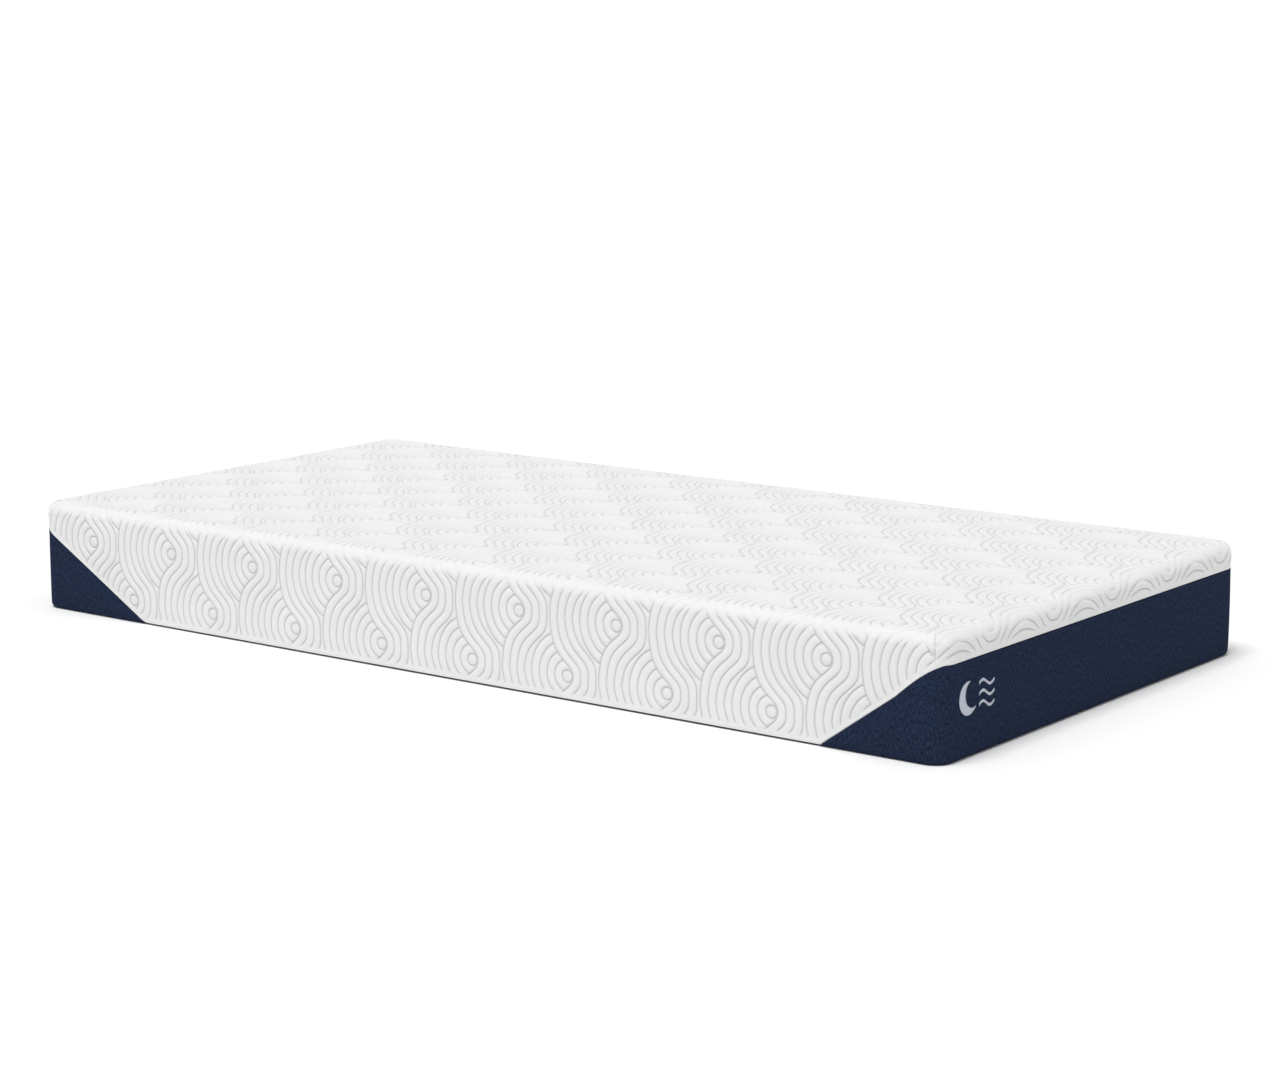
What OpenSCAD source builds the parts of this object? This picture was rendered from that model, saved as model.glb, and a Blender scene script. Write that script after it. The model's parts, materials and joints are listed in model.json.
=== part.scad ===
/* [Mattress] */
// Length from the head end to the foot end
mattress_l = 2000; // [1900:10:2100]
// Width across the two long sides
mattress_w = 1000; // [800:10:1400]
// Height from the underside to the sleeping surface
mattress_h = 205; // [190:5:240]
// Radius of the four upright corners, seen from above
corner_r = 35; // [30:1:50]
// Radius of the rolled edge round the sleeping surface
top_edge_r = 20; // [15:1:28]
// Radius of the edge round the underside
bottom_edge_r = 10; // [8:1:12]

/* [Foam core] */
// Thickness of the memory foam on top
comfort_h = 50; // [30:5:70]
// Thickness of the foam between the memory foam and the base foam
transition_h = 40; // [20:5:60]
// Room left between the foam core and the cover
core_gap = 0.5; // [0.3:0.1:2]

/* [Cover] */
// Thickness of the padded cover fabric
cover_t = 6; // [6:0.5:8]
// Height of the navy end panels, up to their border with the white knit
border_z = 157; // [150:1:165]
// Length of the navy wing at the head end, along the lower edge of a long side
head_wing_l = 287; // [200:1:320]
// Length of the navy wing at the foot end, along the lower edge of a long side
foot_wing_l = 235; // [215:1:245]
// Rise over run of the foot wing's straight border
foot_wing_slope = 0.71; // [0.66:0.01:0.75]

/* [Zip] */
// Width of each tape beside the tooth line
tape_w = 9; // [8:0.5:12]
// Height of the tooth line above the underside along the long sides
zip_low_z = 7.5; // [7.5:0.5:9]
// Distance of the parked slider from the long side behind it
slider_inset = 60; // [50:1:120]
// Length of the pull tab's plate
tab_l = 22; // [16:1:30]

/* [Hidden] */
$fn = 48;

white = [0.93, 0.93, 0.92];
navy = [0.13, 0.17, 0.29];
half_l = mattress_l / 2;
half_w = mattress_w / 2;
slider_y = half_w - slider_inset;
over = 20;                        // how far cutting shapes run past the mattress

// Depths into the cover's wall, measured from its outer face
fold_t = 1.4;                     // folded fabric edge beside the zip
tape_t = 0.6;
tooth_d = fold_t + tape_t;
tooth_t = 2;
tooth_w = 2.3;                    // width of one tooth row
stop_l = 4;
edge_gap = 0.4;                   // half the slit between the two folded edges
lip_h = 5;                        // the base panel's lip stands behind the base tape

// Slider and pull tab
slider_l = 14;
slider_w = 8.6;
plate_t = 0.9;
flange_w = 1.1;
flange_d = tooth_d + 0.3;
back_d = tooth_d + tooth_t + 0.4;
neck_l = 5;
neck_w = 0.5;
outer_gap = 0.6;                  // room between the fabric and the slider's outer plate
outer_plate_w = 6;
outer_x = -half_l - outer_gap - plate_t;
arch_l = 6;
arch_w = 1.6;
arch_h = 3.8;
arch_t = 1;
pin_r = 0.7;
pin_x = outer_x - 1.2;
tab_t = 1.2;
tab_w = 6.5;
arm_l = 6;
arm_w = 0.9;
arm_in = arch_w / 2 + 0.35;       // the pull tab's arms start here, beside the arch
eye_r = 0.7;

// The border between navy and white, as x and z on a long side, level through both end walls
level_x = half_l - cover_t;
foot_line_end_x = half_l - 85;
foot_line_end_z = (foot_line_end_x - (half_l - foot_wing_l)) * foot_wing_slope;
bend_x = half_l - 36;
bend_z = border_z - 11;
bend_steps = 8;

function head_x(z) = -level_x + (head_wing_l - cover_t) * (1 - z / border_z);
function foot_x(z) = half_l - foot_wing_l + z / foot_wing_slope;
function bend(t) = (1 - t) * (1 - t) * [foot_line_end_x, foot_line_end_z]
    + 2 * t * (1 - t) * [bend_x, bend_z] + t * t * [level_x, border_z];
function border(low_z) = concat(
    [[-half_l - over, border_z], [-level_x, border_z], [head_x(low_z), low_z], [foot_x(low_z), low_z]],
    [for (i = [0:bend_steps]) bend(i / bend_steps)],
    [[half_l + over, border_z]]
);
function raised(points, dz) = [for (p = points) [p[0], p[1] + dz]];
function reversed(points) = [for (i = [len(points) - 1:-1:0]) points[i]];

// A shape drawn in x and z, run through the whole width
module across() {
    translate([0, half_w + over, 0])
        rotate([90, 0, 0])
        linear_extrude(mattress_w + 2 * over)
        children();
}

// Everything above the border line raised by dz
module above(low_z, dz) {
    across() polygon(concat(
        raised(border(low_z), dz),
        [[half_l + over, mattress_h + over], [-half_l - over, mattress_h + over]]
    ));
}

// Everything between the border line raised by dz_low and by dz_high
module band(low_z, dz_low, dz_high) {
    across() polygon(concat(
        raised(border(low_z), dz_low),
        reversed(raised(border(low_z), dz_high))
    ));
}

module rounded_rect(l, w, r) {
    square([l - 2 * r, w], center = true);
    square([l, w - 2 * r], center = true);
    for (x = [-1, 1], y = [-1, 1])
        translate([x * (l / 2 - r), y * (w / 2 - r)])
            circle(r);
}

// Upright prism at a depth into the wall, from z0 to z1
module prism(depth, z0, z1) {
    translate([0, 0, z0])
        linear_extrude(z1 - z0)
        rounded_rect(mattress_l - 2 * depth, mattress_w - 2 * depth, corner_r - depth);
}

// Upright tube between two depths into the wall
module tube(d0, d1, z0, z1) {
    difference() {
        prism(d0, z0, z1);
        prism(d1, z0 - 1, z1 + 1);
    }
}

// Outline of a side or end: a box with rolled top and bottom edges
module edge_profile(span, h, top_r, low_r) {
    translate([-span / 2 + top_r, 0]) square([span - 2 * top_r, h]);
    translate([-span / 2, low_r]) square([span, h - top_r - low_r]);
    translate([-span / 2 + low_r, 0]) square([span - 2 * low_r, h / 2]);
    for (x = [-1, 1]) {
        translate([x * (span / 2 - top_r), h - top_r]) circle(top_r);
        if (low_r > 0) translate([x * (span / 2 - low_r), low_r]) circle(low_r);
    }
}

// The mattress's outer form, with rolled edges
module outer_form() {
    intersection() {
        prism(0, 0, mattress_h);
        across() edge_profile(mattress_l, mattress_h, top_edge_r, bottom_edge_r);
        translate([-half_l - over, 0, 0])
            rotate([90, 0, 90])
            linear_extrude(mattress_l + 2 * over)
            edge_profile(mattress_w, mattress_h, top_edge_r, bottom_edge_r);
    }
}

// A block with a rolled top edge that fills the cover, less an even gap
module core_form(gap, z0, z1) {
    depth = cover_t + gap;
    top_r = top_edge_r - depth;
    h = mattress_h - depth;
    intersection() {
        prism(depth, z0, z1);
        across() edge_profile(mattress_l - 2 * depth, h, top_r, 0);
        translate([-half_l - over, 0, 0])
            rotate([90, 0, 90])
            linear_extrude(mattress_l + 2 * over)
            edge_profile(mattress_w - 2 * depth, h, top_r, 0);
    }
}

core_low_z = cover_t + 0.3;
core_top_z = mattress_h - cover_t - core_gap;
transition_top_z = core_top_z - comfort_h;
support_top_z = transition_top_z - transition_h;

module comfort_foam() {
    color([0.96, 0.93, 0.80]) core_form(core_gap, transition_top_z, core_top_z);
}

module transition_foam() {
    color([0.86, 0.90, 0.93])
        prism(cover_t + core_gap, support_top_z, transition_top_z);
}

module support_foam() {
    color([0.70, 0.76, 0.82]) prism(cover_t + core_gap, core_low_z, support_top_z);
}

// White knit: the sleeping surface, both long sides and a strip over each end, in one piece
module top_cover() {
    color(white) {
        difference() {
            intersection() {
                outer_form();
                above(zip_low_z, tape_w);
            }
            core_form(0, -1, mattress_h);
        }
        intersection() {
            outer_form();
            tube(0, fold_t, 0, mattress_h);
            difference() {
                above(-1, edge_gap);
                above(zip_low_z, tape_w);
            }
        }
    }
}

module base_panel() {
    color(navy) {
        intersection() {
            outer_form();
            prism(cover_t, 0, cover_t);
        }
        for (side = [-1, 1])
            intersection() {
                outer_form();
                translate([head_x(0) + 30, side > 0 ? half_w - cover_t : -half_w + tooth_d, 0])
                    cube([foot_x(0) - head_x(0) - 60, cover_t - tooth_d, lip_h]);
            }
    }
}

// Navy panel over one end, with a wing round each corner; x_sign -1 is the head end
module end_panel(x_sign) {
    wing_l = x_sign < 0 ? head_wing_l : foot_wing_l;
    color(navy)
        intersection() {
            translate([x_sign < 0 ? -half_l - over : half_l - wing_l - 1, -half_w - over, -1])
                cube([wing_l + over + 1, mattress_w + 2 * over, mattress_h]);
            union() {
                difference() {
                    outer_form();
                    prism(cover_t, -1, mattress_h + 1);
                    above(0, -tape_w);
                }
                intersection() {
                    outer_form();
                    tube(0, fold_t, 0, mattress_h);
                    band(0, -tape_w - 0.01, -edge_gap);
                }
            }
        }
}

module end_panel_head() { end_panel(-1); }
module end_panel_foot() { end_panel(1); }

module zip_tape_top() {
    color(white)
        intersection() {
            tube(fold_t, tooth_d, 0, mattress_h);
            band(zip_low_z, 0.6, tape_w - 0.1);
        }
}

module zip_tape_base() {
    color(navy)
        intersection() {
            tube(fold_t, tooth_d, lip_h, mattress_h);
            band(zip_low_z, -tape_w + 0.1, -0.6);
        }
}

// The stretch of both tooth rows that the parked slider and the stops stand in
module slider_space() {
    translate([-half_l, slider_y - slider_l / 2 - 1, border_z - 10])
        cube([cover_t, slider_l + stop_l + 4, 20]);
}

module tooth_row(dz_low, dz_high) {
    difference() {
        intersection() {
            tube(tooth_d, tooth_d + tooth_t, 0, mattress_h);
            band(zip_low_z, dz_low, dz_high);
        }
        slider_space();
    }
}

module tooth_row_top() { color(white) tooth_row(0.1, 0.1 + tooth_w); }
module tooth_row_base() { color(navy) tooth_row(-0.1 - tooth_w, -0.1); }

// A stop clamped on one tape's edge, just behind the parked slider
module zip_stop(z_sign) {
    translate([-half_l + tooth_d, slider_y + slider_l / 2 + 1,
               border_z + (z_sign > 0 ? 0.3 : -0.3 - tooth_w)])
        cube([tooth_t + 0.3, stop_l, tooth_w]);
}

module zip_stop_top() { color("silver") zip_stop(1); }
module zip_stop_base() { color("silver") zip_stop(-1); }

// Slider of a hidden zip: the body runs behind the folded edges, the arch stands outside
module zip_slider() {
    color("silver") {
        translate([-half_l, slider_y, border_z]) {
            // back plate behind the teeth
            translate([back_d, -slider_l / 2, -slider_w / 2])
                cube([plate_t, slider_l, slider_w]);
            // flanges beside the tooth rows
            for (z = [-slider_w / 2, slider_w / 2 - flange_w])
                translate([flange_d, -slider_l / 2, z])
                    cube([back_d - flange_d, slider_l, flange_w]);
            // neck through the slit
            translate([-outer_gap, -neck_l / 2, -neck_w / 2])
                cube([back_d + outer_gap, neck_l, neck_w]);
        }
        translate([outer_x, slider_y, border_z]) {
            // outer plate
            translate([0, -slider_l / 2 + 1, -outer_plate_w / 2])
                cube([plate_t, slider_l - 2, outer_plate_w]);
            // arch that holds the pull tab
            difference() {
                translate([-arch_h, -arch_l / 2, -arch_w / 2])
                    cube([arch_h, arch_l, arch_w]);
                translate([-arch_h + arch_t, -arch_l / 2 + arch_t, -arch_w])
                    cube([arch_h, arch_l - 2 * arch_t, 2 * arch_w]);
            }
        }
    }
}

// Pull tab, lying along the tooth line away from the stops, hung on a pin under the arch
module pull_tab() {
    plate_l = tab_l - tab_w / 2;
    color("silver")
        translate([pin_x, slider_y, border_z]) {
            cylinder(r = pin_r, h = 2 * (arm_in + arm_w), center = true);
            for (z = [arm_in, -arm_in - arm_w]) {
                translate([-tab_t / 2, -arm_l, z]) cube([tab_t, arm_l, arm_w]);
                translate([0, 0, z]) cylinder(r = eye_r, h = arm_w);
            }
            translate([-tab_t / 2, -arm_l - plate_l, -tab_w / 2])
                cube([tab_t, plate_l, tab_w]);
            translate([-tab_t / 2, -arm_l - plate_l, 0])
                rotate([0, 90, 0])
                cylinder(r = tab_w / 2, h = tab_t);
        }
}

// Embroidered emblem on the foot end: a crescent beside three waves
emblem_y = -half_w + 97;
emblem_z = 97;
emblem_t = 0.8;
moon_r = 27;
wave_w = 5;
wave_l = 46;
wave_h = 5;
wave_steps = 12;

function wave_z(t) = wave_h * sin(360 * t);

module wave() {
    upper = [for (i = [0:wave_steps]) [wave_l * i / wave_steps, wave_z(i / wave_steps) + wave_w / 2]];
    lower = [for (i = [wave_steps:-1:0]) [wave_l * i / wave_steps, wave_z(i / wave_steps) - wave_w / 2]];
    polygon(concat(upper, lower));
}

module end_emblem() {
    color([0.80, 0.82, 0.90])
        translate([half_l + 0.05, emblem_y, emblem_z])
        rotate([90, 0, 90])
        linear_extrude(emblem_t) {
            translate([-24, 0]) difference() {
                circle(moon_r);
                translate([13, 5]) circle(moon_r - 5);
            }
            for (row = [-1:1])
                translate([7, row * 17]) wave();
        }
}

// Blank care label, sewn by its top edge to the navy panel at the head end
label_w = 36;
label_h = 62;
label_y = -half_w + 170;
label_z = 30;

module care_label() {
    color([0.95, 0.95, 0.93])
        translate([-half_l - 0.55, label_y - label_w / 2, label_z])
        cube([0.5, label_w, label_h]);
}

comfort_foam();
transition_foam();
support_foam();
top_cover();
base_panel();
end_panel_head();
end_panel_foot();
zip_tape_top();
zip_tape_base();
tooth_row_top();
tooth_row_base();
zip_stop_top();
zip_stop_base();
zip_slider();
pull_tab();
end_emblem();
care_label();
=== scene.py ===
"""Memory foam mattress: relief-knit cover, navy end panels, layered foam core and hidden zip."""

import json
import math

import bmesh
import bpy
import numpy as np
from mathutils import Matrix, Vector, noise
from mathutils.bvhtree import BVHTree
from mathutils.interpolate import poly_3d_calc


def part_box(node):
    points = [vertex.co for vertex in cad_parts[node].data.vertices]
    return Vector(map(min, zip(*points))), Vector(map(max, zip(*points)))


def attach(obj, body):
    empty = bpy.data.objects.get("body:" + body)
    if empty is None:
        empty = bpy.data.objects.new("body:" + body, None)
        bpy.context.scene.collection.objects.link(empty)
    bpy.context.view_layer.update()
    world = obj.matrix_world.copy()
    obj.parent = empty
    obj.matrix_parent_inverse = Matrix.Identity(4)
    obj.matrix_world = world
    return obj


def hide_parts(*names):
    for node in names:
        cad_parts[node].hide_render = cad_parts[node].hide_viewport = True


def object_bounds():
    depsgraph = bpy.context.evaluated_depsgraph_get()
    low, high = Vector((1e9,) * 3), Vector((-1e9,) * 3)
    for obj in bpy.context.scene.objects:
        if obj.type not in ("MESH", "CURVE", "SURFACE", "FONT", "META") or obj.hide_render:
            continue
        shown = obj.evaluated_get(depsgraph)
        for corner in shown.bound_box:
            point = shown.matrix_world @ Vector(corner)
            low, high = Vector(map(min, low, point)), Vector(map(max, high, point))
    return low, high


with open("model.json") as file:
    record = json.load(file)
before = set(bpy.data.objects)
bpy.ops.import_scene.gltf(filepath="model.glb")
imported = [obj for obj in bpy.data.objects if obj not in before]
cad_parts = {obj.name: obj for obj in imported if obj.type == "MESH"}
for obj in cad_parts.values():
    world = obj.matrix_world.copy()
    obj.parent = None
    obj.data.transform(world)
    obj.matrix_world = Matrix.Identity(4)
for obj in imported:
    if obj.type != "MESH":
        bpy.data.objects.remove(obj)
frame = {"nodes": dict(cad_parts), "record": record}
CAD_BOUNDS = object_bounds()

COVER_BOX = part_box("top_cover")
BASE_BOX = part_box("base_panel")
HEAD_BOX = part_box("end_panel_head")
FOOT_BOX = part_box("end_panel_foot")
SLIDER_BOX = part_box("zip_slider")
TAB_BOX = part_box("pull_tab")
EMBLEM_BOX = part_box("end_emblem")
LABEL_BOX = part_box("care_label")

bl_info = {
    "name": "Foam mattress",
    "version": (1, 0, 0),
    "blender": (4, 5, 0),
    "location": "View3D > Sidebar > Mattress",
    "description": "Builds a foam mattress with a relief-knit cover over a CAD frame",
    "category": "Add Mesh",
}


# ---------------------------------------------------------------- settings


def metres(name, description, default, lowest=0.0, highest=5.0):
    return bpy.props.FloatProperty(
        name=name, description=description, default=default,
        min=lowest, max=highest, precision=5, unit="LENGTH",
    )


def paint(name, description, default):
    return bpy.props.FloatVectorProperty(
        name=name, description=description, default=default,
        size=3, min=0.0, max=1.0, subtype="COLOR",
    )


class MattressForm(bpy.types.PropertyGroup):
    """Sizes of the mattress's outer form and of the border between white and navy"""

    half_length: metres("Half length", "Half of the length", COVER_BOX[1].x)
    half_width: metres("Half width", "Half of the width", COVER_BOX[1].y)
    height: metres("Height", "Height of the sleeping surface", COVER_BOX[1].z)
    corner_r: metres("Corner radius", "Radius of the upright corners", 0.035)
    top_edge_r: metres("Top edge radius", "Radius of the rolled top edge", 0.020)
    low_edge_r: metres("Bottom edge radius", "Radius of the edge round the underside", 0.010)
    wall: metres("Wall", "Thickness of the padded cover", BASE_BOX[1].z)
    edge_gap: metres("Edge gap", "Half the slit between the folded edges", 0.0004)
    border_z: metres("Border height", "Height of the border over both ends", HEAD_BOX[1].z + 0.0004)
    low_z: metres("Low border", "Height of the white knit's edge on a long side", COVER_BOX[0].z - 0.0025)
    head_wing_x: metres("Head wing", "Where the head wing meets the underside", HEAD_BOX[1].x, -5.0)
    foot_wing_x: metres("Foot wing", "Where the foot wing meets the underside", FOOT_BOX[0].x, -5.0)
    foot_wing_slope: bpy.props.FloatProperty(
        name="Foot wing slope", description="Rise over run of the foot wing's straight border", default=0.71,
    )
    foot_line: metres("Foot line", "The foot wing's straight border ends this far from the end", 0.085)
    foot_bend: metres("Foot bend", "The bend's middle point lies this far from the end", 0.036)
    foot_bend_drop: metres("Foot bend drop", "And this far under the border's height", 0.011)
    seam_angle: bpy.props.FloatProperty(
        name="Seam angle", description="Place of a corner seam, from the long side round the corner",
        default=math.radians(29), subtype="ANGLE",
    )


class MattressKnit(bpy.types.PropertyGroup):
    """The relief pattern of eyes, rings and waving ribbons in the white knit"""

    cell: metres("Cell", "Spacing of the mesh that carries the relief", 0.0022)
    relief: metres("Relief", "Height of a band over its grooves", 0.0024)
    motif: metres("Motif", "Distance between two eyes of a row, along the mattress", 0.2055)
    row: metres("Row", "Distance between two rows of eyes, across the fabric", 0.0988)
    first_eye_x: metres("First eye, length", "An eye's place along the mattress", 0.172, -5.0)
    first_eye_v: metres("First eye, width", "And its place across the fabric", -0.554, -5.0)
    band: metres("Band", "Width of one band of a ribbon", 0.016)
    ribbon_near: metres("Ribbon near", "A ribbon's first groove, beside an eye", 0.012, -1.0)
    ribbon_far: metres("Ribbon far", "The same groove, one row further", -0.037, -1.0)
    eye_r: metres("Eye", "Radius of an eye", 0.0105)
    ring: metres("Ring", "Distance between the rings round an eye", 0.0164)


class MattressZip(bpy.types.PropertyGroup):
    """Sizes of the hidden zip, its depths measured into the wall from its outer face"""

    low_line: metres("Low line", "Height of the tooth line along the long sides", 0.0075)
    tape_depth: metres("Tape depth", "Depth of the tapes' outer face", 0.0014)
    tape_t: metres("Tape thickness", "Thickness of a tape", 0.0006)
    tape_start: metres("Tape start", "From the tooth line to a tape's edge", 0.0006)
    tape_end: metres("Tape end", "From the tooth line to a tape's far edge", 0.0107)
    channel: metres("Channel", "Width of the unpadded fabric over a tape and its teeth", 0.0110)
    fold_t: metres("Fold", "Thickness of the unpadded fabric", 0.0013)
    fold_r: metres("Fold radius", "Radius of a folded edge at the tooth line", 0.0012)
    tooth_depth: metres("Tooth depth", "Depth of the teeth's outer face", 0.0020)
    tooth_t: metres("Tooth thickness", "Size of a tooth into the wall", 0.0020)
    tooth_w: metres("Tooth width", "Size of a tooth across the tooth line", 0.0023)
    tooth_pitch: metres("Tooth pitch", "From one tooth of a row to the next", 0.0030)
    clear_before: metres("Clear before", "Chain left out before the slider's middle", 0.008)
    clear_behind: metres("Clear behind", "Chain left out behind it, where the stops are", 0.014)
    outer_gap: metres("Outer gap", "Room between the fabric and the slider's outer plate", 0.0006)
    plate_t: metres("Plate", "Thickness of the slider's plates", 0.0009)
    neck_w: metres("Neck", "Thickness of the slider's neck, in the slit", 0.0005)
    tab_t: metres("Tab", "Thickness of the pull tab", 0.0012)


class MattressColours(bpy.types.PropertyGroup):
    """Colours of the mattress's fabrics and foams"""

    knit: paint("Knit", "White knit", (0.885, 0.885, 0.885))
    # Painted shade: knit_groove_shade is the knit's colour darkened to stand in for the shadow in the
    # relief's grooves.
    knit_groove_shade: paint("Knit groove", "White knit in its grooves", (0.58, 0.58, 0.585))
    navy: paint("Navy", "Navy yarn of the end panels", (0.009, 0.015, 0.038))
    navy_light: paint("Navy light", "Lighter yarn in the navy melange", (0.036, 0.054, 0.104))
    base: paint("Base", "Fabric under the mattress", (0.018, 0.026, 0.052))
    lining: paint("Lining", "Cover's backing fabric", (0.72, 0.72, 0.70))
    memory_foam: paint("Memory foam", "Top foam", (0.86, 0.78, 0.58))
    transition_foam: paint("Transition foam", "Middle foam", (0.62, 0.72, 0.80))
    support_foam: paint("Support foam", "Base foam", (0.34, 0.42, 0.52))
    white_tape: paint("White tape", "Upper zip tape", (0.74, 0.74, 0.73))
    navy_tape: paint("Navy tape", "Lower zip tape", (0.022, 0.032, 0.068))
    metal: paint("Metal", "Zip slider and stops", (0.60, 0.61, 0.63))
    thread: paint("Thread", "Emblem's thread", (0.66, 0.70, 0.82))
    label: paint("Label", "Care label", (0.80, 0.80, 0.79))


class MattressStage(bpy.types.PropertyGroup):
    """Camera, light and floor"""

    azimuth: bpy.props.FloatProperty(
        name="Azimuth", description="Direction of the view", default=math.radians(36.895), subtype="ANGLE",
    )
    elevation: bpy.props.FloatProperty(
        name="Elevation", description="Height of the view", default=math.radians(10.752), subtype="ANGLE",
    )
    distance: metres("Distance", "From the camera to what it aims at", 5.6075, 0.1, 50.0)
    aim_right: metres("Aim right", "Aim beside the middle of the underside", 0.0389, -5.0)
    aim_up: metres("Aim up", "Aim above the middle of the underside", 0.1558, -5.0)
    lens: bpy.props.FloatProperty(name="Lens", description="Focal length in mm", default=85.38)
    sky: bpy.props.FloatProperty(name="Sky", description="Even light from all round", default=0.50)
    sun: bpy.props.FloatProperty(name="Sun", description="Soft key light", default=1.92)
    floor: metres("Floor", "Half size of the floor", 300.0, 1.0, 1000.0)


# ---------------------------------------------------------------- the form


def border_height(form, x):
    """Height of the border between white and navy at x on a long side."""
    level = form.half_length - form.wall
    head = form.border_z * (form.head_wing_x - x) / (form.head_wing_x + level)
    line_x = form.half_length - form.foot_line
    line_z = (line_x - form.foot_wing_x) * form.foot_wing_slope
    mid_x = form.half_length - form.foot_bend
    mid_z = form.border_z - form.foot_bend_drop
    t = np.linspace(0, 1, 33)
    bend_x = (1 - t) ** 2 * line_x + 2 * t * (1 - t) * mid_x + t**2 * level
    bend_z = (1 - t) ** 2 * line_z + 2 * t * (1 - t) * mid_z + t**2 * form.border_z
    foot = np.where(x < line_x, (x - form.foot_wing_x) * form.foot_wing_slope, np.interp(x, bend_x, bend_z))
    return np.clip(np.maximum(head, foot), form.low_z, form.border_z)


def wrap(form, p, q):
    """Where the places p along the cover and q across it, from the top's middle, lie on the mattress.

    Past the rolled edge both count the share of the way down to the border, from 0 to 1."""
    core = (form.half_length - form.corner_r, form.half_width - form.corner_r)
    flat_r = form.corner_r - form.top_edge_r
    quarter = form.top_edge_r * math.pi / 2
    side_p, side_q = np.sign(p), np.sign(q)
    p, q = np.abs(p), np.abs(q)
    over_p = np.maximum(p - (form.half_length - form.top_edge_r), 0)
    over_q = np.maximum(q - (form.half_width - form.top_edge_r), 0)
    over = np.maximum(over_p, over_q)
    in_p = np.clip((p - core[0]) / flat_r, 0, 1)
    in_q = np.clip((q - core[1]) / flat_r, 0, 1)
    in_corner = (in_p > 0) & (in_q > 0)
    on_long = np.where(over > 0, over_q > 0, in_q >= in_p)
    roll = np.clip(over / form.top_edge_r, 0, math.pi / 2)
    rounded = flat_r + form.top_edge_r * np.sin(roll)
    reach = np.where(over > 0, rounded, np.maximum(in_p, in_q) * flat_r)
    share = np.minimum(in_p, in_q) / np.maximum(np.maximum(in_p, in_q), 1e-9)
    angle = np.where(
        on_long, share * form.seam_angle, math.pi / 2 - share * (math.pi / 2 - form.seam_angle)
    )
    x = np.where(over_p > 0, core[0] + reach, p)
    y = np.where(over_q > 0, core[1] + reach, q)
    x = np.where(in_corner, core[0] + reach * np.sin(angle), x)
    y = np.where(in_corner, core[1] + reach * np.cos(angle), y)
    out_x = np.where(in_corner, np.sin(angle), over_p > 0)
    out_y = np.where(in_corner, np.cos(angle), over_q > 0)
    return {
        "x": x, "y": y, "side": (side_p, side_q), "over": over, "roll": roll,
        "down": np.maximum(over - quarter, 0), "out": (out_x, out_y), "reach": reach,
        "angle": angle, "core": core, "in_corner": in_corner, "on_long": on_long,
        "top_z": form.height - form.top_edge_r,
        "border": border_height(form, x * side_p) + form.edge_gap,
    }


def knit_relief(knit, u, v):
    """Height of the relief at u, v, from 0 in a groove to 1 on a band, and the share of an eye."""
    step = knit.motif / 2
    column = np.floor((u - knit.first_eye_x) / step)

    def in_column(c):
        """Offset from a column of eyes, and height above or below its nearest eye."""
        shift = knit.row * np.mod(c, 2)
        climb = np.mod(v - knit.first_eye_v - shift + knit.row, 2 * knit.row) - knit.row
        return u - knit.first_eye_x - c * step, np.abs(climb)

    def groove(k, h):
        """Offset of a ribbon's groove k from its column, at height h from the eye."""
        reach, sharpness = 0.32 + 0.06 * k, 2.5 + 0.5 * k
        swing = 1 / (1 + (h / knit.row / reach) ** sharpness)
        last = 1 / (1 + (1 / reach) ** sharpness)
        share = (swing - last) / (1 - last)
        return knit.ribbon_far + k * knit.band + share * (knit.ribbon_near - knit.ribbon_far)

    nearest = np.full(u.shape, 1.0)
    eye = np.zeros(u.shape)
    here, beside = in_column(column), in_column(column + 1)
    small = 0.0005
    for offset, h in (here, beside):
        for k in range(4):
            slant = (groove(k, h + small) - groove(k, np.maximum(h - small, 0))) / (2 * small)
            nearest = np.minimum(nearest, np.abs(offset - groove(k, h)) / np.sqrt(1 + slant**2))
    lens_here = here[0] < groove(0, here[1])
    lens_beside = (here[0] > groove(3, here[1])) & (beside[0] < groove(0, beside[1]))
    for (offset, h), lens in ((here, lens_here), (beside, lens_beside)):
        r = np.hypot(offset, h)
        ring = np.clip(np.round((r - knit.eye_r) / knit.ring), 0, 4)
        to_ring = np.abs(r - knit.eye_r - ring * knit.ring)
        nearest = np.where(lens, np.minimum(nearest, to_ring), nearest)
        eye = np.where(lens, np.maximum(eye, np.clip((knit.eye_r - r) / 0.002, 0, 1)), eye)
    crease = 1 - np.exp(-((nearest / 0.0021) ** 2))
    crown = np.sin(np.pi / 2 * np.clip(nearest / (knit.band / 2), 0, 1))
    return 0.65 * crease + 0.35 * crown, eye


# ---------------------------------------------------------------- making meshes


def new_piece(name, mesh, body, slot, *nodes):
    """A piece from a mesh, riding on a body, standing for the CAD nodes that it hides; slot is not used."""
    piece = bpy.data.objects.new(name, mesh)
    bpy.context.scene.collection.objects.link(piece)
    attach(piece, body)
    if nodes:
        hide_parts(*nodes)
    return piece


def mesh_of(name, bm, smooth=True):
    """The mesh of a bmesh, which is freed."""
    mesh = bpy.data.meshes.new(name)
    bm.to_mesh(mesh)
    bm.free()
    if smooth:
        mesh.shade_smooth()
    return mesh


def flat_grid(name, columns, rows, cut=None):
    """A grid mesh, its cells 1 wide and centred on 0, less the cells that cut names."""
    bm = bmesh.new()
    bmesh.ops.create_grid(bm, x_segments=columns, y_segments=rows, size=0.5)
    bmesh.ops.scale(bm, vec=(columns, rows, 1), verts=bm.verts)
    if cut:
        gone = [f for f in bm.faces if cut(*f.calc_center_median().xy)]
        bmesh.ops.delete(bm, geom=gone, context="FACES")
    return mesh_of(name, bm)


def read_points(mesh):
    points = np.empty(len(mesh.vertices) * 3)
    mesh.vertices.foreach_get("co", points)
    return points.reshape(-1, 3)


def write_points(mesh, points):
    mesh.vertices.foreach_set("co", np.ascontiguousarray(points, np.float32).ravel())
    mesh.update()


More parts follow.
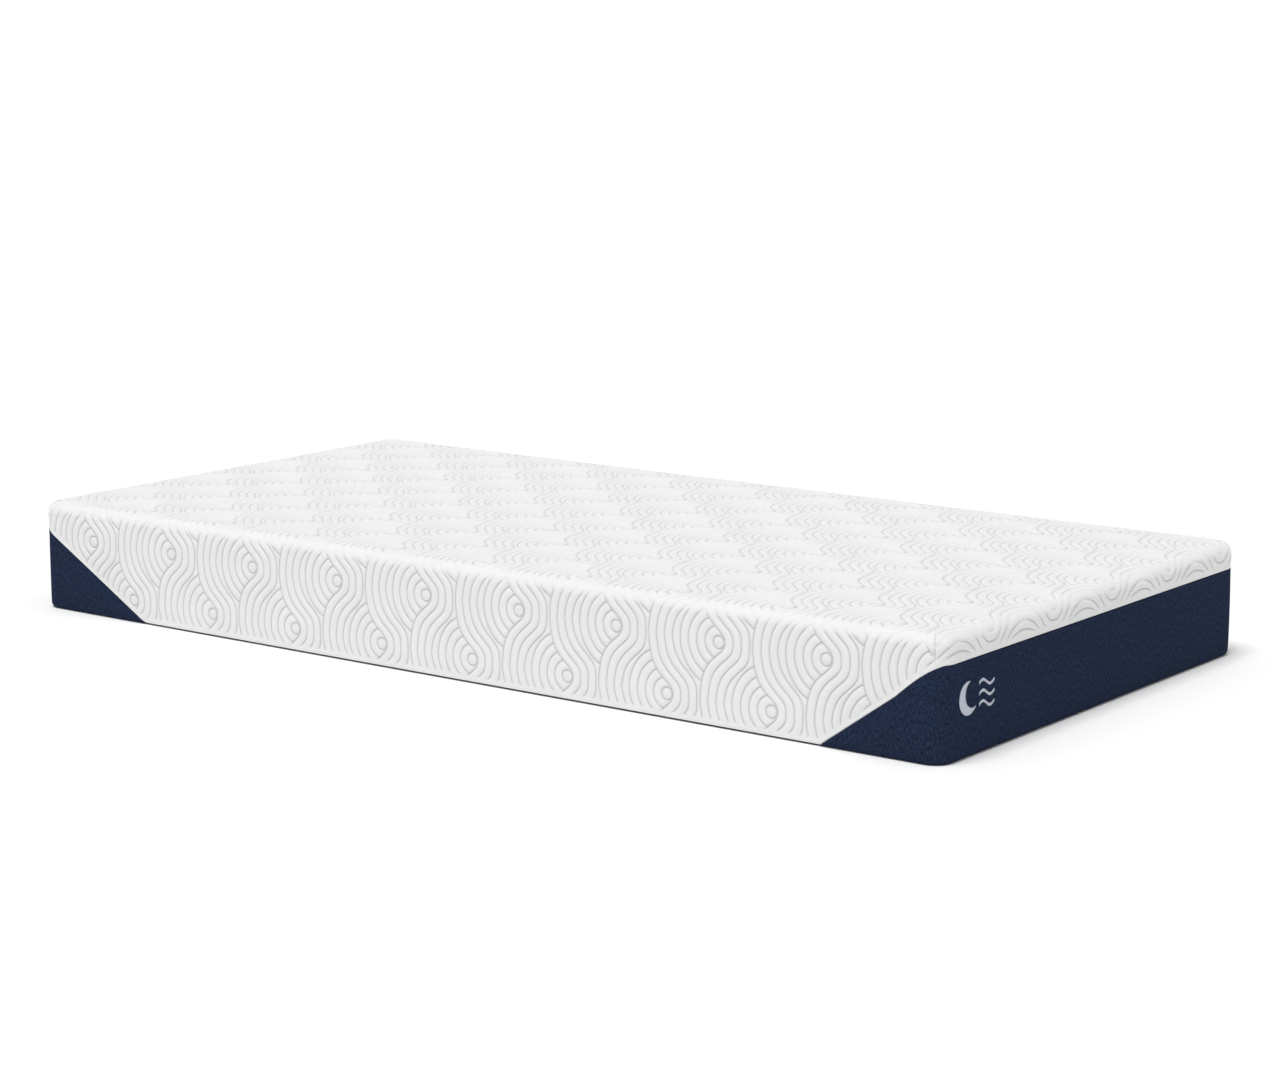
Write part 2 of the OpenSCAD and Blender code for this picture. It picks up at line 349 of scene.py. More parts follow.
def write_map(mesh, name, across, up):
    """A UV map with a value for each vertex."""
    corner = np.empty(len(mesh.loops), np.int32)
    mesh.loops.foreach_get("vertex_index", corner)
    layer = mesh.uv_layers.new(name=name)
    layer.data.foreach_set("uv", np.stack([across[corner], up[corner]], 1).astype(np.float32).ravel())


def write_value(mesh, name, values):
    """A number for each vertex, which materials read as an attribute."""
    layer = mesh.attributes.new(name=name, type="FLOAT", domain="POINT")
    layer.data.foreach_set("value", values.astype(np.float32))


def steps(*stretches):
    """Places of grid lines from 0 outwards, from pairs of (end of a stretch, cells in it)."""
    places, start = [0.0], 0.0
    for end, cells in stretches:
        places += [start + (end - start) * (i + 1) / cells for i in range(cells)]
        start = end
    return np.array(places)


def mirrored(places, index):
    """Signed place for a signed grid index."""
    return np.sign(index) * places[np.abs(index).astype(int)]


# ---------------------------------------------------------------- the swelling


def coarse_form(form, cell):
    """A closed box of the mattress's size, cut into cells."""
    bm = bmesh.new()
    bmesh.ops.create_cube(bm, size=2.0)
    size = Vector((form.half_length, form.half_width, form.height / 2))
    bmesh.ops.scale(bm, vec=size, verts=bm.verts)
    bmesh.ops.translate(bm, vec=(0, 0, form.height / 2), verts=bm.verts)
    lows = (-form.half_length, -form.half_width, 0)
    highs = (form.half_length, form.half_width, form.height)
    for axis, (low, high) in enumerate(zip(lows, highs)):
        cuts = round((high - low) / cell)
        normal = Vector([float(i == axis) for i in range(3)])
        for i in range(1, cuts):
            bmesh.ops.bisect_plane(
                bm, geom=bm.verts[:] + bm.edges[:] + bm.faces[:],
                plane_co=normal * (low + (high - low) * i / cuts), plane_no=normal,
            )
    return mesh_of("swell", bm)


def held_share(form, point, cell):
    """How firmly the foam and the seams hold the cover at a point, from 0 to 1."""
    x, y, z = point
    on_end = abs(x) > form.half_length - 1e-4
    on_side = abs(y) > form.half_width - 1e-4
    if z < 1e-4 or (on_end and on_side):
        return 1.0
    if z > form.height - 1e-4:
        return 0.9 if on_end or on_side else 0.5
    near_border = abs(z - float(border_height(form, np.float64(x)))) < cell * 0.6
    return 0.8 if near_border else 0.0


class Swelling:
    """How far the padded cover stands out from its plain form, simulated once on a coarse cloth"""

    CELL = 0.034
    MOST = 0.0030
    FRAMES = 20
    CLOTH = {
        "quality": 6, "mass": 0.3, "tension_stiffness": 60, "compression_stiffness": 60,
        "bending_stiffness": 8, "use_pressure": True, "uniform_pressure_force": 4,
        "vertex_group_mass": "held", "pin_stiffness": 1.0,
    }

    def __init__(self, form):
        self.tree = None
        self.form = form
        self.simulate(form)

    def simulate(self, form):
        mesh = coarse_form(form, self.CELL)
        cloth = bpy.data.objects.new("swell", mesh)
        bpy.context.scene.collection.objects.link(cloth)
        group = cloth.vertex_groups.new(name="held")
        for vertex in mesh.vertices:
            group.add([vertex.index], held_share(form, vertex.co, self.CELL), "REPLACE")
        start = read_points(mesh)
        settings = cloth.modifiers.new("cloth", "CLOTH").settings
        for name, value in self.CLOTH.items():
            setattr(settings, name, value)
        settings.effector_weights.gravity = 0
        scene = bpy.context.scene
        for number in range(1, self.FRAMES + 1):
            scene.frame_set(number)
        solved = cloth.evaluated_get(bpy.context.evaluated_depsgraph_get())
        moved = read_points(solved.data) - start
        scene.frame_set(1)
        far = np.linalg.norm(moved, axis=1, keepdims=True)
        moved *= self.MOST / (far + self.MOST)
        polygons = [tuple(p.vertices) for p in mesh.polygons]
        self.tree = BVHTree.FromPolygons([tuple(co) for co in start], polygons)
        self.corners = polygons
        self.start = [Vector(co) for co in start]
        self.moved = moved
        bpy.data.objects.remove(cloth)
        bpy.data.meshes.remove(mesh)

    def at(self, points):
        """How far each point is moved."""
        result = np.zeros_like(points)
        if self.tree is None:
            return result
        calm = self.calm(points)
        for i, point in enumerate(points):
            place, _, face, _ = self.tree.find_nearest(Vector(point))
            corners = self.corners[face]
            weights = poly_3d_calc([self.start[c] for c in corners], place)
            result[i] = calm[i] * sum(w * self.moved[c] for w, c in zip(weights, corners))
        return result

    def calm(self, points):
        """None of the swelling at the stitched border and at the bottom edge, all of it away from them."""
        to_border = np.abs(points[:, 2] - border_height(self.form, points[:, 0]))
        on_side = points[:, 2] < self.form.height - self.form.top_edge_r
        return np.where(on_side, smooth(to_border, 0.004, 0.030), 1.0) * smooth(points[:, 2], 0.002, 0.020)


SWELLING = {}


def swelling(form):
    """The one swelling that every piece of the cover shares."""
    if "it" not in SWELLING:
        SWELLING["it"] = Swelling(form)
    return SWELLING["it"]


# ---------------------------------------------------------------- nodes


class Nodes:
    """Short hand for building a material's nodes"""

    def __init__(self, name):
        self.material = bpy.data.materials.new(name)
        self.material.use_nodes = True
        self.tree = self.material.node_tree
        self.shader = self.tree.nodes["Principled BSDF"]

    def add(self, kind, settings=None, **inputs):
        node = self.tree.nodes.new("ShaderNode" + kind)
        for key, value in (settings or {}).items():
            setattr(node, key, value)
        for key, value in inputs.items():
            self.put(node, key.replace("_", " "), value)
        return node

    def put(self, node, key, value):
        socket = node.inputs[int(key) if key.isdigit() else key]
        if isinstance(value, bpy.types.NodeSocket):
            self.tree.links.new(value, socket)
        else:
            socket.default_value = value

    def math(self, operation, a, b=0.0):
        node = self.add("Math", {"operation": operation})
        self.put(node, "0", a)
        self.put(node, "1", b)
        return node.outputs[0]

    def mix(self, share, a, b):
        node = self.add("Mix", {"data_type": "RGBA"})
        for key, value in (("Factor", share), ("A", a), ("B", b)):
            sockets = [s for s in node.inputs if s.name == key and s.enabled]
            if isinstance(value, bpy.types.NodeSocket):
                self.tree.links.new(value, sockets[0])
            else:
                sockets[0].default_value = value
        return [s for s in node.outputs if s.enabled][0]

    def mapped(self, where, **change):
        return self.add("Mapping", Vector=where, **change).outputs[0]

    def object_coordinates(self):
        return self.mapped(self.add("TexCoord").outputs["Object"])

    def map_coordinates(self, name):
        return self.mapped(self.add("UVMap", {"uv_map": name}).outputs[0])

    def noise(self, where, scale, detail=3.0, roughness=0.5):
        node = self.add("TexNoise", Vector=where, Scale=scale, Detail=detail, Roughness=roughness)
        return node.outputs["Fac"]

    def wave(self, where, pitch, axis="X", distortion=0.0, profile="SIN"):
        """Stripes with a pitch in metres."""
        node = self.add(
            "TexWave", {"bands_direction": axis, "wave_profile": profile},
            Vector=where, Scale=math.pi / 10 / pitch, Distortion=distortion,
        )
        return node.outputs["Fac"]

    def woven(self, where, across, up, distortion):
        """Height of a weave, its threads two pitches apart."""
        waves = (self.wave(where, pitch, axis, distortion) for pitch, axis in ((across, "X"), (up, "Y")))
        return self.math("MULTIPLY", *waves)

    def cells(self, where, scale, randomness=1.0):
        node = self.add("TexVoronoi", {"feature": "F1"}, Vector=where, Scale=scale, Randomness=randomness)
        return node.outputs["Distance"]

    def tinted(self, value, low, high, colour, darker):
        """A colour that is darker by a factor where a value is low."""
        return self.mix(self.between(value, low, high), opaque([c * darker for c in colour]), opaque(colour))

    def attribute(self, name):
        return self.add("Attribute", {"attribute_name": name}).outputs["Fac"]

    def between(self, value, low, high, to_low=0.0, to_high=1.0):
        node = self.add("MapRange", Value=value)
        for key, number in (("From Min", low), ("From Max", high), ("To Min", to_low), ("To Max", to_high)):
            node.inputs[key].default_value = number
        return node.outputs[0]

    def bump(self, height, distance, strength=1.0, normal=None):
        node = self.add("Bump", Height=height, Distance=distance, Strength=strength)
        if normal is not None:
            self.tree.links.new(normal, node.inputs["Normal"])
        return node.outputs[0]

    def finish(self, **sockets):
        for key, value in sockets.items():
            self.put(self.shader, key.replace("_", " "), value)
        return self.material


def opaque(colour):
    return (*colour, 1.0)


def knit_material(colours):
    """White double knit: fine stitches over the relief, hatched eyes, and painted shade that greys the
    grooves.
    """
    n = Nodes("white_knit")
    fabric = n.map_coordinates("fabric")
    # Painted shade: low is 1 in the relief's grooves and 0 on the bands, and greys the knit where the grooves
    # would be shadowed.
    low = n.between(n.attribute("relief"), 0.05, 0.50, 1.0, 0.0)
    cloudy = n.noise(fabric, 9.0, 2.0)
    # shade joins a faint random cloudiness of the knit with more painted shade in the grooves.
    shade = n.math("MULTIPLY", n.between(cloudy, 0.3, 0.7, 0.95, 1.0), n.between(low, 0.0, 1.0, 1.0, 0.9))
    colour = n.mix(low, opaque(colours.knit), opaque(colours.knit_groove_shade))
    colour = n.mix(shade, opaque([c * 0.93 for c in colours.knit_groove_shade]), colour)
    stitches = n.woven(fabric, 0.0013, 0.0011, 1.5)
    fuzz = n.noise(fabric, 1400.0, 2.0)
    slanted = n.mapped(n.map_coordinates("fabric"), Rotation=(0, 0, math.radians(-35)))
    hatch = n.math("MULTIPLY", n.wave(slanted, 0.0027, "Y"), n.attribute("eye"))
    normal = n.bump(hatch, 0.0003)
    normal = n.bump(stitches, 0.00022, normal=normal)
    normal = n.bump(fuzz, 0.00012, normal=normal)
    return n.finish(
        Base_Color=colour, Roughness=n.between(fuzz, 0.3, 0.7, 0.82, 0.95), Normal=normal,
        Sheen_Weight=0.15, Sheen_Roughness=0.5, Specular_IOR_Level=0.25,
    )


def melange(n, where, dark, light, pitch):
    """Colour and height of a woven melange with fine upright ribs; the rib hollows hold painted shade."""
    flecks = n.noise(where, 380.0, 3.0, 0.7)
    streaks = n.noise(n.mapped(where, Scale=(1, 0.30, 1)), 420.0, 2.0, 0.6)
    ribs = n.wave(where, pitch, "X", 0.8)
    grain = n.math("ADD", n.math("MULTIPLY", flecks, 0.5), n.math("MULTIPLY", streaks, 0.5))
    share = n.between(grain, 0.40, 0.62)
    # Painted shade: less of the light yarn shows where the ribs are low, so the rib hollows read darker; the
    # flecks and streaks are the yarn's own melange.
    share = n.math("MULTIPLY", share, n.between(ribs, 0.0, 1.0, 0.55, 1.0))
    return n.mix(share, opaque(dark), opaque(light)), ribs, flecks


def navy_material(colours):
    """Navy woven melange of the end panels, ribbed upright."""
    n = Nodes("navy_fabric")
    where = n.map_coordinates("fabric")
    colour, ribs, flecks = melange(n, where, colours.navy, colours.navy_light, 0.0024)
    weft = n.wave(where, 0.0011, "Y", 1.0)
    normal = n.bump(ribs, 0.0003)
    normal = n.bump(n.math("MULTIPLY", weft, flecks), 0.0002, normal=normal)
    return n.finish(
        Base_Color=colour, Roughness=n.between(flecks, 0.3, 0.7, 0.75, 0.92), Normal=normal,
        Specular_IOR_Level=0.02,
    )


def base_material(colours):
    """Plain dark fabric under the mattress, with small dots."""
    n = Nodes("base_fabric")
    where = n.object_coordinates()
    dots = n.between(n.cells(where, 125.0, 0.0), 0.30, 0.22)
    weave = n.woven(where, 0.0012, 0.0012, 1.0)
    speckle = n.noise(where, 600.0, 3.0, 0.7)
    cloth = n.mix(n.between(speckle, 0.4, 0.65), opaque(colours.base), opaque(colours.navy_light))
    colour = n.mix(dots, cloth, opaque([c * 0.7 for c in colours.base]))
    normal = n.bump(weave, 0.0002)
    normal = n.bump(dots, 0.0005, normal=normal)
    return n.finish(Base_Color=colour, Roughness=n.between(dots, 0, 1, 0.9, 0.55), Normal=normal)


def lining_material(colours):
    """Cover's backing: a thin off-white mesh knit, with painted shade in the weave's hollows."""
    n = Nodes("cover_backing")
    where = n.map_coordinates("fabric")
    weave = n.woven(where, 0.0016, 0.0016, 0.6)
    # Painted shade: the backing darkens where the weave's height is low.
    colour = n.tinted(weave, 0.0, 0.8, colours.lining, 0.82)
    return n.finish(Base_Color=colour, Roughness=0.92, Normal=n.bump(weave, 0.0003))


def foam_material(name, colour, pore):
    """Open-cell foam: small round pores, a few larger ones, a faint cloudiness, and painted shade in the
    pores.
    """
    n = Nodes(name)
    where = n.object_coordinates()
    small, large = n.cells(where, 1 / pore), n.cells(where, 0.3 / pore)
    clouds = n.noise(where, 14.0, 3.0)
    cut_marks = n.wave(n.mapped(where, Scale=(0.02, 0.02, 1)), 0.0045, "Z", 2.5)
    depth = n.math("MULTIPLY", n.between(small, 0.15, 0.55), n.between(large, 0.08, 0.22))
    pale = n.tinted(clouds, 0.3, 0.7, colour, 0.93)
    # Painted shade: the colour darkens with the pores' depth, standing in for the shadow inside them.
    shade = n.mix(n.between(depth, 0.0, 0.7), opaque([c * 0.62 for c in colour]), pale)
    normal = n.bump(cut_marks, 0.0002)
    normal = n.bump(depth, pore * 0.35, normal=normal)
    return n.finish(
        Base_Color=shade, Roughness=n.between(depth, 0, 1, 0.95, 0.8), Normal=normal, Specular_IOR_Level=0.2,
    )


def tape_material(name, colour):
    """Woven zip tape, in a fine herringbone, with painted shade in the weave's hollows."""
    n = Nodes(name)
    where = n.map_coordinates("fabric")
    twill = n.wave(n.mapped(where, Rotation=(0, 0, math.radians(40))), 0.0009, "X")
    ribs = n.wave(where, 0.0016, "Y")
    height = n.math("MULTIPLY", twill, ribs)
    # Painted shade: the tape darkens where the weave's height is low.
    tone = n.tinted(height, 0.0, 0.8, colour, 0.75)
    return n.finish(Base_Color=tone, Roughness=0.8, Normal=n.bump(height, 0.00015))


def teeth_material(name, colour):
    """Moulded plastic zip teeth, with a faint haze."""
    n = Nodes(name)
    haze = n.noise(n.object_coordinates(), 300.0, 3.0)
    rough = n.between(haze, 0.3, 0.7, 0.3, 0.45)
    tone = n.tinted(haze, 0.3, 0.7, colour, 0.85)
    return n.finish(Base_Color=tone, Roughness=rough, Normal=n.bump(haze, 0.00003))


def metal_material(colours):
    """Cast and plated metal of the slider, brighter where it is rubbed."""
    n = Nodes("zip_metal")
    where = n.object_coordinates()
    rubbed = n.noise(where, 220.0, 4.0, 0.6)
    grain = n.noise(where, 1800.0, 2.0)
    tone = n.tinted(rubbed, 0.35, 0.65, colours.metal, 0.72)
    return n.finish(
        Base_Color=tone, Metallic=1.0, Roughness=n.between(rubbed, 0.35, 0.65, 0.42, 0.26),
        Normal=n.bump(grain, 0.00002),
    )


def thread_material(name, colour, pitch):
    """Satin stitches laid side by side, with painted shade between the strands."""
    n = Nodes(name)
    where = n.map_coordinates("fabric")
    strands = n.wave(where, pitch, "X", 0.4)
    # Painted shade: darker where the strands' height is low, between the stitches.
    tone = n.tinted(strands, 0.0, 0.7, colour, 0.6)
    return n.finish(
        Base_Color=tone, Roughness=0.45, Sheen_Weight=0.3, Anisotropic=0.4,
        Normal=n.bump(strands, pitch * 0.3),
    )


def satin_material(colours):
    """Blank satin label with a woven selvedge."""
    n = Nodes("label_satin")
    where = n.object_coordinates()
    warp = n.wave(where, 0.0005, "Y")
    drift = n.noise(where, 60.0, 2.0)
    tone = n.tinted(drift, 0.3, 0.7, colours.label, 0.94)
    return n.finish(Base_Color=tone, Roughness=n.between(warp, 0, 1, 0.35, 0.5), Normal=n.bump(warp, 0.00008))


def floor_material():
    """Plain pale floor with the faintest unevenness."""
    n = Nodes("floor")
    drift = n.noise(n.object_coordinates(), 0.6, 2.0)
    tone = n.mix(n.between(drift, 0.3, 0.7), (0.985, 0.985, 0.985, 1), (0.99, 0.99, 0.99, 1))
    return n.finish(Base_Color=tone, Roughness=0.9, Specular_IOR_Level=0.0)


# ---------------------------------------------------------------- white cover


def cover_lines(form, cell):
    """Grid lines of the white cover along and across, from the middle outwards."""
    top_end = form.half_length - form.top_edge_r
    top_side = form.half_width - form.top_edge_r
    quarter = form.top_edge_r * math.pi / 2
    flat_r = form.corner_r - form.top_edge_r
    roll_cells = max(4, round(quarter / cell * 0.95))
    corner_cells = max(3, round(flat_r / cell))
    drop = form.height - form.top_edge_r
    long_end = (top_end + quarter, roll_cells)
    along = steps(
        (form.half_length - form.corner_r, round(top_end / cell)), (top_end, corner_cells),
        long_end, (top_end + quarter + 1, max(6, round((drop - form.border_z) / cell * 1.6))),
    )
    across = steps(
        (form.half_width - form.corner_r, round(top_side / cell / 1.2)), (top_side, 2 * corner_cells),
        (top_side + quarter, roll_cells), (top_side + quarter + 1, round((drop - form.low_z) / cell * 1.12)),
    )
    return along, across


def wrapped_cover(form, along, across, name):
    """A grid wrapped over the top and sides, its corners cut out: its mesh and where its vertices are."""
    mesh = flat_grid(
        name, 2 * (len(along) - 1), 2 * (len(across) - 1),
        lambda i, j: abs(i) > edge_line(form, along, form.half_length)
        and abs(j) > edge_line(form, across, form.half_width),
    )
    index = np.rint(read_points(mesh))
    at = wrap(form, mirrored(along, index[:, 0]), mirrored(across, index[:, 1]))
    write_map(mesh, "OFBake", *(0.5 + index[:, i] / (np.ptp(index[:, i]) + 1) for i in (0, 1)))
    return mesh, at


def edge_line(form, places, half):
    """Index of the grid line where the top's rolled edge starts."""
    return int(np.argmin(np.abs(places - (half - form.top_edge_r))))


def cover_points(form, at, depth=0.0):
    """Positions and normals of the wrapped cover, a depth inside its face."""
    quarter = form.top_edge_r * math.pi / 2
    drop = at["down"] * (at["top_z"] - at["border"])
    z = at["top_z"] + form.top_edge_r * np.cos(at["roll"]) - drop
    under = np.clip(form.low_edge_r - z, 0, form.low_edge_r)
    inset = form.low_edge_r - np.sqrt(form.low_edge_r**2 - under**2)
    x = (at["x"] - at["out"][0] * inset) * at["side"][0]
    y = (at["y"] - at["out"][1] * inset) * at["side"][1]
    sin, cos = np.sin(at["roll"]), np.cos(at["roll"])
    normal = np.stack([at["out"][0] * sin * at["side"][0], at["out"][1] * sin * at["side"][1], cos], 1)
    return np.stack([x, y, z], 1) - normal * depth, normal, at["over"].clip(0, quarter) + drop


def pattern_coordinates(form, at, travelled):
    """Where each vertex is on the flat knit: along the mattress and across it."""
    turned = at["reach"] * at["angle"]
    turned_end = at["reach"] * (math.pi / 2 - at["angle"])
    flat_r = form.corner_r - form.top_edge_r
    over = at["over"] > 0
    corner = at["in_corner"]
    start_x = at["core"][0] + flat_r * np.where(corner, np.sin(at["angle"]), 1)
    start_y = at["core"][1] + flat_r * np.where(corner, np.cos(at["angle"]), 1)
    u = np.where(over & at["on_long"] & corner, at["core"][0] + turned, at["x"])
    v = np.where(over & ~at["on_long"] & corner, at["core"][1] + turned_end, at["y"])
    u = np.where(over & ~at["on_long"], start_x + travelled, u)
    v = np.where(over & at["on_long"], start_y + travelled, v)
    return u * at["side"][0], v * at["side"][1]


def seam_distance(form, at):
    """Distance along the face to the nearest corner seam."""
    from_seam = np.abs(at["angle"] - form.seam_angle) * np.maximum(at["reach"], 0.001)
    on_flap = at["over"] > 0
    return np.where(at["in_corner"] & on_flap, from_seam, 1.0)


def smooth(value, low, high):
    t = np.clip((value - low) / (high - low), 0, 1)
    return t * t * (3 - 2 * t)


class MATTRESS_OT_top_cover(bpy.types.Operator):
    """Add the white relief-knit cover, wrapped over the top, both long sides and a strip of each end"""

    bl_idname = "mattress.top_cover"
    bl_label = "White cover"

    PLAIN_LEVEL = 0.75
    ROLL_STRETCH = 0.45
    SEAM_DEEP, SEAM_WIDE = 0.0022, 0.0015
    PULL_DEEP, PULL_WIDE = 0.0005, 0.008
    TUCK_DEEP, TUCK_WIDE, TUCK_PITCH = 0.0006, 0.007, 0.011
    RIM_SHARE = 0.75

    def execute(self, context):
        form, knit = context.scene.mattress_form, context.scene.mattress_knit
        zipper = context.scene.mattress_zip
        cell = knit.cell * 1
        along, across = cover_lines(form, cell)
        mesh, at = wrapped_cover(form, along, across, "top_cover_knit")
        points, normal, travelled = cover_points(form, at)
        u, v = pattern_coordinates(form, at, travelled)
        relief, eye = knit_relief(knit, u, v)

        to_seam = seam_distance(form, at)
        above_border = (1 - at["down"]) * (at["top_z"] - at["border"])
        above_border = np.where(at["over"] > 0, above_border, 1.0)
        calm = smooth(above_border, 0.003, 0.014) * smooth(to_seam, 0.0005, 0.004)
        on_roll = np.sin(2 * at["roll"]) * (at["down"] <= 0)
        calm = calm * (1 - self.ROLL_STRETCH * on_roll)
        fold_r = zipper.fold_r
        fold = fold_r - np.sqrt(fold_r**2 - np.clip(fold_r - above_border, 0, fold_r) ** 2)
        seam = self.SEAM_DEEP * np.exp(-((to_seam / self.SEAM_WIDE) ** 2))
        seam += self.PULL_DEEP * np.exp(-to_seam / self.PULL_WIDE)
        seam *= smooth(above_border, 0.006, 0.016)
        tucks = np.sin(points[:, 2] * 2 * math.pi / self.TUCK_PITCH + 3 * np.sin(points[:, 2] * 90))
        tucks *= self.TUCK_DEEP * np.exp(-to_seam / self.TUCK_WIDE) * smooth(points[:, 2], 0.150, 0.190)
        height = knit.relief * (relief - self.PLAIN_LEVEL) * calm - fold - seam + tucks
        points = points + swelling(form).at(points) + normal * height[:, None]
        write_points(mesh, points)
        # The relief attribute also drives the painted shade in the knit's grooves.
        write_value(mesh, "relief", 1 - (1 - relief) * calm)
        write_value(mesh, "eye", eye * calm)
        write_map(mesh, "fabric", u, v)

        bm = bmesh.new()
        bm.from_mesh(mesh)
        rim = [e for e in bm.edges if e.is_boundary and self.on_border(form, e)]
        turned_in = zipper.fold_t - zipper.fold_r
        rest = form.wall * self.RIM_SHARE - zipper.fold_t
        for inward, up in ((turned_in, 0), (0, zipper.channel), (rest, 0)):
            made = bmesh.ops.extrude_edge_only(bm, edges=rim)["geom"]
            rim = [g for g in made if isinstance(g, bmesh.types.BMEdge)]
            for vert in (g for g in made if isinstance(g, bmesh.types.BMVert)):
                vert.co += Vector((0, 0, up)) - plan_outward(form, vert.co) * inward
        bm.to_mesh(mesh)
        bm.free()
        mesh.shade_smooth()
        piece = new_piece("top_cover_knit", mesh, "top_cover", "white_knit", "top_cover")
        mesh.materials.append(knit_material(context.scene.mattress_colours))
        return {"FINISHED"}

    def on_border(self, form, edge):
        """Whether an open edge is part of the border, which is never as steep as a corner seam."""
        low, high = (vert.co for vert in edge.verts)
        return (low.z + high.z) / 2 < form.border_z + 0.001 and abs(low.z - high.z) < 0.9 * edge.calc_length()


def plan_outward(form, point):
    """Direction out of the side wall at a point, seen from above."""
    inner_x = max(-(form.half_length - form.corner_r), min(form.half_length - form.corner_r, point.x))
    inner_y = max(-(form.half_width - form.corner_r), min(form.half_width - form.corner_r, point.y))
    return Vector((point.x - inner_x, point.y - inner_y, 0)).normalized()


class MATTRESS_OT_cover_lining(bpy.types.Operator):
    """Add the backing inside the white cover"""

    bl_idname = "mattress.cover_lining"
    bl_label = "Cover lining"

    CELL = 0.020
    DEPTH_SHARE = 0.80
    THICKNESS = 0.0006

    def execute(self, context):
        form = context.scene.mattress_form
        mesh, at = wrapped_cover(form, *cover_lines(form, self.CELL), "cover_lining")
        points, normal, travelled = cover_points(form, at, form.wall * self.DEPTH_SHARE)
        write_points(mesh, points + 0.5 * swelling(form).at(points))
        write_map(mesh, "fabric", *pattern_coordinates(form, at, travelled))
        bm = bmesh.new()
        bm.from_mesh(mesh)
        bmesh.ops.remove_doubles(bm, verts=[v for v in bm.verts if v.is_boundary], dist=0.0005)
        bm.to_mesh(mesh)
        bm.free()
        piece = new_piece("cover_lining", mesh, "top_cover", "white_knit")
        mesh.materials.append(lining_material(context.scene.mattress_colours))
        thicken(piece, self.THICKNESS)
        return {"FINISHED"}


def thicken(piece, thickness, thin=None, thinner=1.0):
    """Gives a cloth its thickness, inwards from its face, and less of it at the vertices named thin."""
    solid = piece.modifiers.new("thickness", "SOLIDIFY")
    solid.thickness = thickness
    solid.offset = -1
    solid.use_even_offset = True
    if thin is not None:
        padding = piece.vertex_groups.new(name="padding")
        padding.add(np.flatnonzero(~thin).tolist(), 1.0, "REPLACE")
        padding.add(np.flatnonzero(thin).tolist(), thinner / thickness, "REPLACE")
        solid.vertex_group = padding.name


def rolled(form, height, depth):
    """Inset and height of a cloth a depth inside the wall that goes on down it and round the bottom edge."""
    r = form.low_edge_r
    turn = np.clip((r - height) / (r - depth), 0, math.pi / 2)
    return r - (r - depth) * np.cos(turn), np.where(height > r, height, r - (r - depth) * np.sin(turn))


class MATTRESS_OT_corner_stitches(bpy.types.Operator):
    """Add the stitches down the four corner seams of the white cover"""

    bl_idname = "mattress.corner_stitches"
    bl_label = "Corner stitches"

    DEPTH = 0.0017
    STITCH = (0.0018, 0.0007, 0.0007)
    STRAND = 0.0004

    def execute(self, context):
        form = context.scene.mattress_form
        quarter = form.top_edge_r * math.pi / 2
        flat_side = form.half_width - form.top_edge_r
        bm = bmesh.new()
        for side_p in (-1, 1):
            for side_q in (-1, 1):
                line = flat_side + steps((quarter, 9), (quarter + 1, 14))
                end = np.full(line.shape, side_p * (form.half_length - form.top_edge_r))
                at = wrap(form, end, side_q * line)
                points, normal, _ = cover_points(form, at, self.DEPTH)
                points += swelling(form).at(points)
                for i in range(1, len(points) - 1):
                    along = Vector(points[i + 1] - points[i - 1]).normalized()
                    place_block(bm, points[i], along, Vector(normal[i]), self.STITCH)
        bmesh.ops.bevel(
            bm, geom=bm.edges[:], offset=0.0002, segments=1, profile=0.5, affect="EDGES", material=-1
        )
        piece = new_piece("corner_stitches", mesh_of("corner_stitches", bm), "top_cover", "white_knit")
        write_map(piece.data, "fabric", *read_points(piece.data)[:, 1:].T)
        colour = context.scene.mattress_colours.knit
        piece.data.materials.append(thread_material("seam_thread", colour, self.STRAND))
        return {"FINISHED"}


def place_block(bm, middle, along, out, size):
    """A block with its length along one direction and its thickness out from the surface."""
    side = out.cross(along).normalized()
    turn = Matrix((along, side, along.cross(side))).transposed().to_4x4()
    place = Matrix.Translation(Vector(middle)) @ turn @ Matrix.Diagonal((*size, 1))
    return bmesh.ops.create_cube(bm, size=1.0, matrix=place)["verts"]


# ---------------------------------------------------------------- navy base cover


def outline(form, s):
    """Plan of the foot end: places and ways out at lengths s from the end's middle, round its corners."""
    straight, turn = form.half_width - form.corner_r, form.corner_r * math.pi / 2
    far = np.abs(s)
    angle = np.clip((far - straight) / form.corner_r, 0, math.pi / 2)
    past = np.maximum(far - straight - turn, 0)
    x = form.half_length - form.corner_r + form.corner_r * np.cos(angle) - past
    y = np.sign(s) * (np.minimum(far, straight) + form.corner_r * np.sin(angle))
    return x, y, np.cos(angle), np.sign(s) * np.sin(angle)


